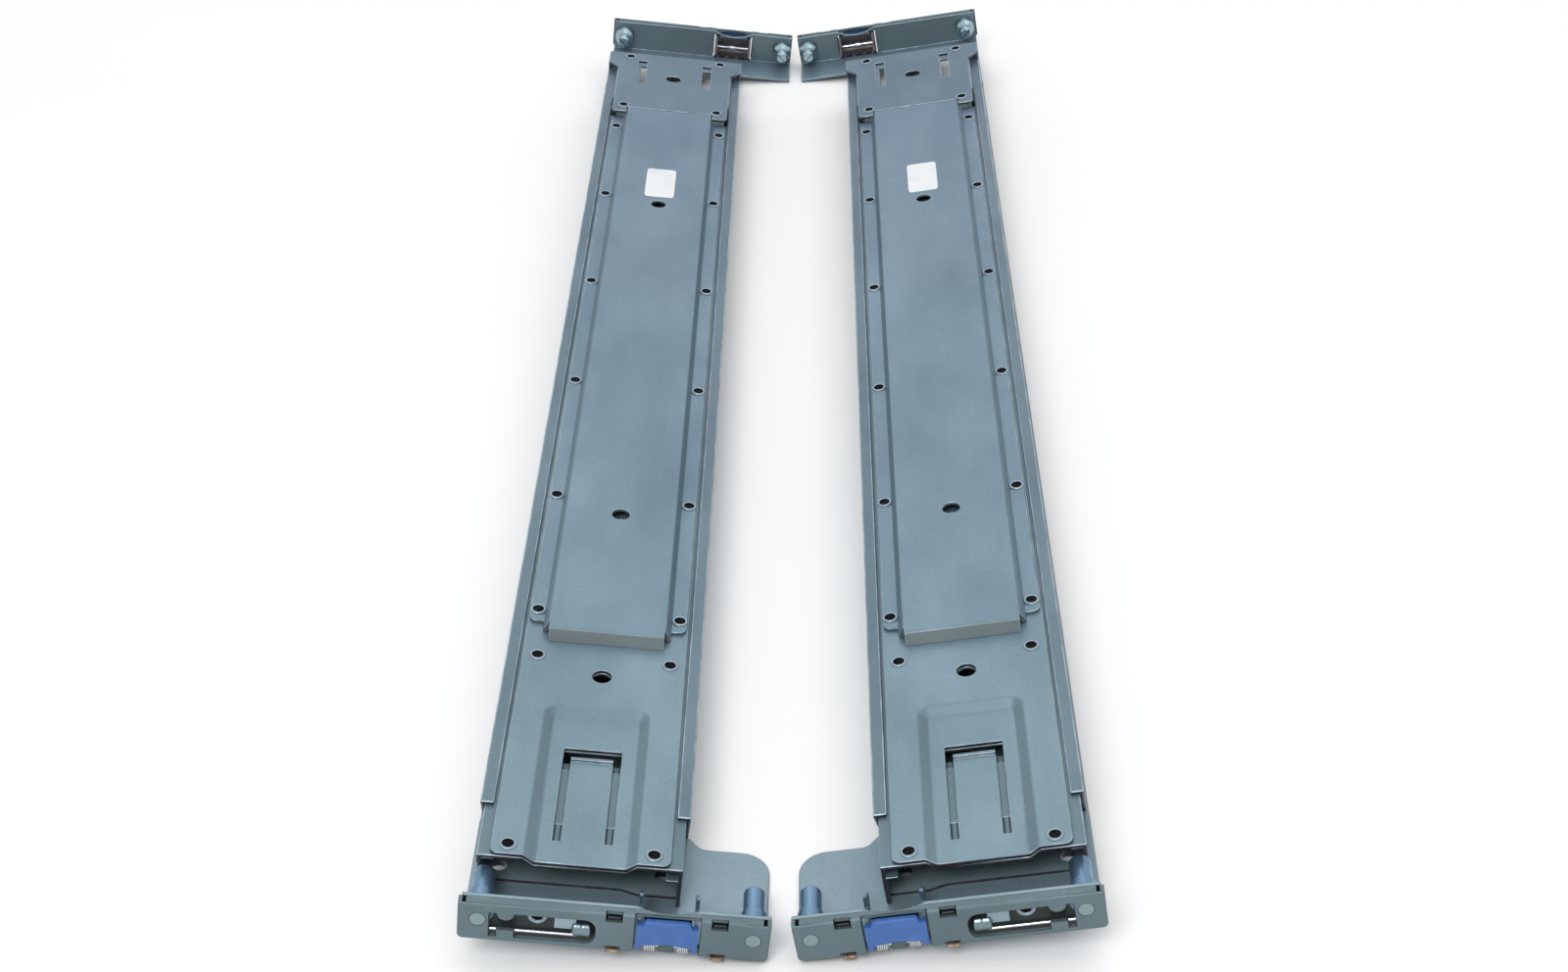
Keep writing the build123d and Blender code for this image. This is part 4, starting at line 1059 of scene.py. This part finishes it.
@dataclass
class DarkFills:
    """Thin fills: a disc of painted shade in the oval hole, backing strips under the tongue's slots and the
    brown web over the rear hook.
    """

    place: RailPlace
    center_x: float = MIDDLE_X
    oval_y: float = 527.1
    oval_half: tuple[float, float] = (3.35, 2.75)
    oval_z: float = 4.08
    slot_offset: float = 7.45
    slot_half_width: float = 1.6
    slot_ys: tuple[float, float] = (25.5, 61.5)
    slot_z: float = -3.72
    web_box: tuple[float, float, float, float] = (8.0, 20.6, -8.7, -5.9)
    web_y: float = 602.5
    web_sheet: float = 0.12
    web_power: float = 8

    def oval(self) -> np.ndarray:
        """Dark shade in the oval hole: flat ellipse rings that go in to the middle and out again below.

        Returns:
            A grid that wraps in its first direction.
        """
        angle = np.linspace(0, 2 * math.pi, 40, endpoint=False)[:, None]
        share = np.array([[1.0, 0.5, 0.0, 0.5, 1.0]])
        grid = np.zeros((40, 5, 3))
        grid[..., 0] = self.center_x + self.oval_half[0] * share * np.cos(angle)
        grid[..., 1] = self.oval_y + self.oval_half[1] * share * np.sin(angle)
        grid[..., 2] = self.oval_z + np.array([[0.0, -0.3, -0.4, -0.5, -0.5]])
        return grid

    def strip(self, side: int) -> np.ndarray:
        """Backing under one slot of the tongue: a thin rectangle carried along Y, closed at both ends.

        Args:
            side: -1 or 1, for the slot on either side of the middle line.

        Returns:
            A grid that wraps in its second direction.
        """
        x = self.center_x + side * self.slot_offset + self.slot_half_width * np.array([-1, 1, 1, -1])
        z = self.slot_z - np.array([0, 0, 0.2, 0.2])
        y = np.linspace(*self.slot_ys, 12)
        strip = np.zeros((12, 4, 3))
        strip[..., 0], strip[..., 1], strip[..., 2] = x[None], y[:, None], z[None]
        first, last = (np.repeat(end.mean(1, keepdims=True), 4, 1) for end in (strip[:1], strip[-1:]))
        return np.concatenate([first, strip, last])

    def web(self) -> np.ndarray:
        """Brown web: superellipse rings of a high power that shrink towards the middle.

        Returns:
            A grid that wraps in its first direction.
        """
        x0, x1, z0, z1 = self.web_box
        angle = np.linspace(0, 2 * math.pi, 64, endpoint=False)[:, None]
        power = self.web_power
        reach = (np.abs(np.cos(angle)) ** power + np.abs(np.sin(angle)) ** power) ** (-1 / power)
        share = np.array([[1.0, 0.97, 0.5, 0.0]])
        grid = np.zeros((64, 4, 3))
        grid[..., 0] = (x0 + x1) / 2 + (x1 - x0) / 2 * reach * np.cos(angle) * share
        grid[..., 1] = self.web_y - self.web_sheet * np.array([[0.0, 1.0, 1.0, 1.0]])
        grid[..., 2] = (z0 + z1) / 2 + (z1 - z0) / 2 * reach * np.sin(angle) * share
        return grid

    def build(self, finishes: Finishes) -> list[bpy.types.Object]:
        """Make the disc, the strips and the web.

        Args:
            finishes: the rail's finishes.

        Returns:
            The objects.
        """
        shade = Piece(f"{self.place.side.value}_oval_shade", self.place)
        shade.lattice(self.oval(), wrap_u=True)
        disc = shade.build([finishes.bore])
        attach(disc, self.place.body["rear"])
        strips = Piece(f"{self.place.side.value}_slot_backing", self.place)
        for side in (-1, 1):
            strips.lattice(self.strip(side), wrap_v=True)
        backing = strips.build([finishes.folded], smooth=False)
        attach(backing, self.place.body["frame"])
        cover = Piece(f"{self.place.side.value}_hook_web", self.place)
        cover.lattice(self.web(), wrap_u=True)
        web = cover.build([finishes.rear_hook], recalculate=False)
        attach(web, self.place.body["rear"])
        return [disc, backing, web]


@dataclass
class LatchSprings:
    """Two wound torsion springs on one hinge pin, with their legs."""

    place: RailPlace
    end: End
    latch_x: float = LATCH_X
    hinge_y: float = 2.3
    hinge_z: float = -15.1
    offset: float = 4.6
    length: float = 3.7
    turns: float = 5.0
    coil_radius: float = 1.74
    wire_radius: float = 0.27
    leg_length: float = 2.4

    def path(self, center_x: float) -> np.ndarray:
        """Helix about the pin: angle grows evenly with X, then a straight leg leaves it upwards.

        Args:
            center_x: middle of the coil along the pin.

        Returns:
            The wire's centre line.
        """
        angle = np.linspace(-0.5 * math.pi, 2 * math.pi * self.turns, 150)
        share = np.linspace(-0.5, 0.5, 150)
        coil = np.stack([center_x + share * (self.length - 2 * self.wire_radius),
                         self.hinge_y + self.coil_radius * np.cos(angle),
                         self.hinge_z + self.coil_radius * np.sin(angle)], axis=1)
        rise = np.linspace(0.15, 1, 8)[:, None] * np.array([0.0, -0.1, self.leg_length])
        return np.concatenate([coil, coil[-1] + rise])

    def build(self, finishes: Finishes) -> bpy.types.Object:
        """Make both springs as one piece that stands for the CAD springs.

        Args:
            finishes: the rail's finishes.

        Returns:
            The springs' object.
        """
        node = f"{self.place.side.value}_{self.end.value}_springs"
        piece = Piece(f"{node}_wound", self.place)
        for center_x in (self.latch_x - self.offset, self.latch_x + self.offset):
            wire = self.path(center_x)
            if self.end is End.REAR:
                wire[:, 1] = rear(wire[:, 1])
            piece.lattice(swept(wire, self.wire_radius, 8), wrap_v=True)
        built = piece.build([finishes.wire if self.end is End.FRONT else finishes.dull_wire])
        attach(built, self.place.body["frame" if self.end is End.FRONT else "rear"])
        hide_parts(node)
        return built


@dataclass
class HollowRivets:
    """Hollow rivets with a rolled rim round a dark bore."""

    place: RailPlace
    end: End
    center_x: float = MIDDLE_X
    head_radius: float = 2.55
    bore_radius: float = 1.62
    height: float = 0.5
    offset: float = 20.6
    hat_offset: float = 22.5
    plate_ys: tuple[float, ...] = (21.4, 107.0)
    first_hat_y: float = 128.5
    end_pitch: float = 64.5
    mid_pitch: float = 74.0
    rear_ys: tuple[float, ...] = (495.5, 547.0)
    sheet: float = 1.2
    crown_z: float = CROWN_Z
    bore_edge: float = 0.12
    steps: int = 24

    def centers(self) -> list[Spot]:
        """Find the places of the rivets on the sheets.

        Returns:
            Points in the rail's own frame.
        """
        if self.end is End.REAR:
            return [(self.center_x + s * self.offset, y, self.crown_z)
                    for s in (-1, 1) for y in self.rear_ys]
        mid = [self.first_hat_y + self.end_pitch + row * self.mid_pitch for row in range(4)]
        hat = [self.first_hat_y, *mid, mid[-1] + self.end_pitch]
        plate = [(self.center_x + s * self.offset, y, 0.0) for s in (-1, 1) for y in self.plate_ys]
        return plate + [(self.center_x + s * self.hat_offset, y, self.sheet) for s in (-1, 1) for y in hat]

    def profile(self) -> np.ndarray:
        """Rolled rim: half a flat ellipse from the sheet over the rim and down into the bore.

        Returns:
            Rows of (radius, height), from the rim's foot to the middle of the bore's floor.
        """
        middle = (self.head_radius + self.bore_radius) / 2
        half = (self.head_radius - self.bore_radius) / 2
        angle = np.linspace(0, math.pi, 9)
        rim = np.stack([middle + half * np.cos(angle), self.height * np.sin(angle) ** 0.8], axis=1)
        floor = np.array([[self.bore_radius * 0.96, 0.03], [0.0, 0.02]])
        return np.concatenate([rim, floor])

    def build(self, finishes: Finishes) -> bpy.types.Object:
        """Make the rivets as one piece that stands for the CAD heads.

        Args:
            finishes: the rail's finishes.

        Returns:
            The rivets' object.
        """
        node = f"{self.place.side.value}_{self.end.value}_rivets"
        piece = Piece(f"{node}_rolled", self.place)
        profile = self.profile()
        inside = profile[1:, 0] < self.bore_radius + self.bore_edge
        marks = np.broadcast_to(inside, (self.steps, len(inside))).astype(int)
        for center in self.centers():
            head = revolved(profile, center, Axis.Z, self.steps)
            piece.lattice(head, wrap_u=True, slot=marks, flip=True)
        built = piece.build([finishes.rivet, finishes.bore], recalculate=False)
        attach(built, self.place.body["frame" if self.end is End.FRONT else "rear"])
        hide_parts(node)
        return built


@dataclass
class BlankLabel:
    """Blank paper label stuck on the stiffener's crown, with round corners."""

    place: RailPlace
    center: tuple[float, float] = (-11.9, 423.5)
    half: tuple[float, float] = (6.1, 12.6)
    level: float = CROWN_Z
    thickness: float = 0.12
    corner_power: float = 14.0
    lift: float = 0.18
    lift_from: float = 1.55

    def build(self, finishes: Finishes) -> bpy.types.Object:
        """Make the label: a disc grid pushed out to a rounded rectangle, with one corner a hair up.

        Radius at each angle is where a superellipse of a high power stands, times the share
        from the middle to the rim.

        Args:
            finishes: the rail's finishes.

        Returns:
            The label's object.
        """
        angle = np.linspace(0, 2 * math.pi, 96, endpoint=False)[:, None]
        share = np.concatenate([np.linspace(0, 0.985, 10), [1.0, 1.0]])[None, :]
        power = self.corner_power
        reach = (np.abs(np.cos(angle) / self.half[0]) ** power
                 + np.abs(np.sin(angle) / self.half[1]) ** power) ** (-1 / power)
        x, y = reach * np.cos(angle) * share, reach * np.sin(angle) * share
        lifted = self.lift * smooth_step((x / self.half[0] + y / self.half[1]) - self.lift_from)
        z = self.thickness + lifted
        z[:, -1] = lifted[:, -1]
        grid = np.stack([x + self.center[0], y + self.center[1], z + self.level], axis=-1)
        piece = Piece(f"{self.place.side.value}_blank_label", self.place)
        piece.lattice(grid, wrap_u=True)
        built = piece.build([finishes.paper], recalculate=False)
        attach(built, self.place.body["frame"])
        return built


@dataclass
class HookRod:
    """Bright cross rod and clip over the hook's dark web."""

    place: RailPlace
    end: End
    first_x: float = 6.35
    second_x: float = 22.225
    rod_y: float = 3.2
    rod_z: float = -11.4
    rod_radius: float = 0.64
    end_inset: float = 0.52
    clip_half_width: float = 1.55
    clip_slope: float = 0.15
    clip_rise: float = 0.5

    def build(self, finishes: Finishes) -> bpy.types.Object:
        """Make the rod's bright skin, with a swollen clip in the middle.

        The radius along the rod is the rod's own, plus a raised band round the clip.

        Args:
            finishes: the rail's finishes.

        Returns:
            The rod's object.
        """
        middle = (self.first_x + self.second_x) / 2
        along = np.linspace(self.first_x + self.end_inset, self.second_x - self.end_inset, 80)
        band = smooth_step((self.clip_half_width - np.abs(along - middle)) / self.clip_slope)
        radius = self.rod_radius + self.clip_rise * band
        profile = np.stack([np.r_[0, radius, 0], np.r_[along[0], along, along[-1]] - middle], axis=1)
        y = self.rod_y if self.end is End.FRONT else rear(self.rod_y)
        piece = Piece(f"{self.place.side.value}_{self.end.value}_hook_rod", self.place)
        piece.lattice(revolved(profile, (middle, y, self.rod_z), Axis.X, 20), wrap_u=True)
        built = piece.build([finishes.rod])
        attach(built, self.place.body[f"{self.end.value}_latch"])
        return built


@dataclass
class HookApron:
    """Brown lower web of the rear hook, bent once, in front of the springs."""

    place: RailPlace
    xs: tuple[float, float] = (6.75, 21.8)
    y: float = 4.3
    zs: tuple[float, float] = (-15.9, -12.3)
    sheet: float = 0.3
    bend: float = 0.9
    bend_start: float = 2.4
    bend_run: float = 1.6

    def build(self, finishes: Finishes) -> bpy.types.Object:
        """Make the apron: a strip whose upper third leans to the web by a smooth step.

        Args:
            finishes: the rail's finishes.

        Returns:
            The apron's object.
        """
        z = np.linspace(*self.zs, 14)
        lean = self.bend * smooth_step((z - self.zs[0] - self.bend_start) / self.bend_run)
        section = np.stack([np.concatenate([self.y - lean, (self.y - lean - self.sheet)[::-1]]),
                            np.concatenate([z, z[::-1]])], axis=1)
        xs = np.array([self.xs[0], *self.xs, self.xs[1]])
        grid = np.zeros((4, len(section), 3))
        grid[..., 0] = xs[:, None]
        grid[..., 1], grid[..., 2] = rear(section[None, :, 0]), section[None, :, 1]
        middle = section.mean(0)
        grid[0, :, 1], grid[3, :, 1] = rear(middle[0]), rear(middle[0])
        grid[0, :, 2], grid[3, :, 2] = middle[1], middle[1]
        piece = Piece(f"{self.place.side.value}_hook_apron", self.place)
        piece.lattice(grid, wrap_v=True)
        built = piece.build([finishes.rear_hook])
        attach(built, self.place.body["rear_latch"])
        return built


@dataclass
class Studio:
    """Floor, backdrop light, lamps and camera, in metres."""

    floor_half: float = 6.0
    fade: tuple[float, float] = (0.75, 1.7)
    diffuse_light: float = 0.66
    seen_light: float = 1.0
    sensor_width: float = 36.0
    focal_length: float = 55.03
    camera_spot: Spot = (0.0201, -0.7815, 0.4849)
    camera_right: Spot = (0.99947, 0.00988, -0.03112)
    camera_forward: Spot = (-0.02563, 0.82793, -0.56025)

    def floor(self) -> bpy.types.Object:
        """Make the pale floor, which is seen plain near the rails and fades to pure white further out.

        Returns:
            The floor's object.
        """
        mesh = bpy.data.meshes.new("studio_floor")
        half = self.floor_half
        corners = np.array([[-half, -half, 0], [half, -half, 0], [half, half, 0], [-half, half, 0]])
        mesh.from_pydata(corners.tolist(), [], [(0, 1, 2, 3)])
        plane = bpy.data.objects.new("studio_floor", mesh)
        bpy.context.scene.collection.objects.link(plane)
        g = Graph("studio_floor_paint")
        tone = g.noise((3, 3, 3), 2)
        color = g.mix(g.span(tone, 0.3, 0.7, 0, 1), rgb(250, 250, 250), rgb(247, 248, 249))
        paint = g.node("BsdfPrincipled", {"Base Color": color, "Roughness": 0.9,
                                          "Specular IOR Level": 0.1})
        length = g.node("VectorMath", {0: g.coordinates.outputs["Object"]}, operation="LENGTH")
        rays = g.node("LightPath")
        seen = g.math("MAXIMUM", rays.outputs["Is Camera Ray"], rays.outputs["Is Glossy Ray"])
        glow = g.node("Emission", {"Strength": 1.0})
        far = g.math("MULTIPLY", g.span(length.outputs["Value"], *self.fade, 0, 1), seen)
        both = g.node("MixShader", {0: far, 1: paint.outputs[0], 2: glow.outputs[0]})
        mesh.materials.append(g.finish(both))
        return plane

    def world(self) -> None:
        """White surroundings for the camera and reflections, softer for diffuse light."""
        world = bpy.data.worlds.new("studio_world")
        bpy.context.scene.world = world
        world.use_nodes = True
        nodes, links = world.node_tree.nodes, world.node_tree.links
        nodes.clear()
        rays = nodes.new("ShaderNodeLightPath")
        camera_or_gloss = nodes.new("ShaderNodeMath")
        camera_or_gloss.operation = "MAXIMUM"
        links.new(rays.outputs["Is Camera Ray"], camera_or_gloss.inputs[0])
        links.new(rays.outputs["Is Glossy Ray"], camera_or_gloss.inputs[1])
        any_seen = nodes.new("ShaderNodeMath")
        any_seen.operation = "MAXIMUM"
        links.new(camera_or_gloss.outputs[0], any_seen.inputs[0])
        links.new(rays.outputs["Is Transmission Ray"], any_seen.inputs[1])
        strength = nodes.new("ShaderNodeMapRange")
        strength.inputs["To Min"].default_value = self.diffuse_light
        strength.inputs["To Max"].default_value = self.seen_light
        links.new(any_seen.outputs[0], strength.inputs["Value"])
        background = nodes.new("ShaderNodeBackground")
        background.inputs["Color"].default_value = (1, 1, 1, 1)
        links.new(strength.outputs[0], background.inputs["Strength"])
        output = nodes.new("ShaderNodeOutputWorld")
        links.new(background.outputs[0], output.inputs["Surface"])

    def lamp(self, name: str, place: Spot, size: float, energy: float) -> None:
        """Add one soft square lamp that looks at the middle of the pair.

        Args:
            name: the lamp's name.
            place: its place in metres.
            size: length of its side.
            energy: its power in watts.
        """
        light = bpy.data.lights.new(name, "AREA")
        light.shape = "SQUARE"
        light.size = size
        light.energy = energy
        lamp = bpy.data.objects.new(name, light)
        lamp.location = place
        lamp.rotation_euler = (-Vector(place)).to_track_quat("-Z", "Y").to_euler()
        bpy.context.scene.collection.objects.link(lamp)

    def camera(self) -> None:
        """Set the camera where the photograph was taken from."""
        lens = bpy.data.cameras.new("photo_camera")
        lens.sensor_fit = "HORIZONTAL"
        lens.sensor_width = self.sensor_width
        lens.lens = self.focal_length
        camera = bpy.data.objects.new("photo_camera", lens)
        right = Vector(self.camera_right).normalized()
        forward = Vector(self.camera_forward).normalized()
        up = right.cross(forward).normalized()
        turn = Matrix((right, up, -forward)).transposed()
        camera.matrix_world = Matrix.Translation(self.camera_spot) @ turn.to_4x4()
        bpy.context.scene.collection.objects.link(camera)
        bpy.context.scene.camera = camera

    def build(self) -> None:
        """Set up the whole studio."""
        self.floor()
        self.world()
        self.lamp("key_lamp", (-0.35, -1.35, 1.45), 0.7, 15.0)
        self.lamp("fill_lamp", (0.6, 0.1, 1.7), 1.5, 6.0)
        self.lamp("back_lamp", (-0.2, 1.3, 1.2), 1.0, 3.0)
        self.camera()
        bpy.context.scene.view_settings.view_transform = "Standard"


def main() -> None:
    """Build both rails and the studio."""
    logging.basicConfig(level=logging.INFO, format="%(name)s: %(message)s")
    Studio().build()
    for side in Side:
        place = RailPlace(side)
        finishes = Finishes(place)
        log.info("%s rail: dressed %s", side.value, ", ".join(CadDress(place, finishes).dress()))
        for made in BodySheets(place).build(finishes):
            log.info("built %s", made.name)
        log.info("built %s", WindowParts(place).build(finishes).name)
        for made in DarkFills(place).build(finishes):
            log.info("built %s", made.name)
        for end in End:
            log.info("built %s", LatchSprings(place, end).build(finishes).name)
            log.info("built %s", HollowRivets(place, end).build(finishes).name)
            log.info("built %s", HookRod(place, end).build(finishes).name)
        log.info("built %s", HookApron(place).build(finishes).name)
        log.info("built %s", BlankLabel(place).build(finishes).name)


if __name__ == "__main__":
    main()
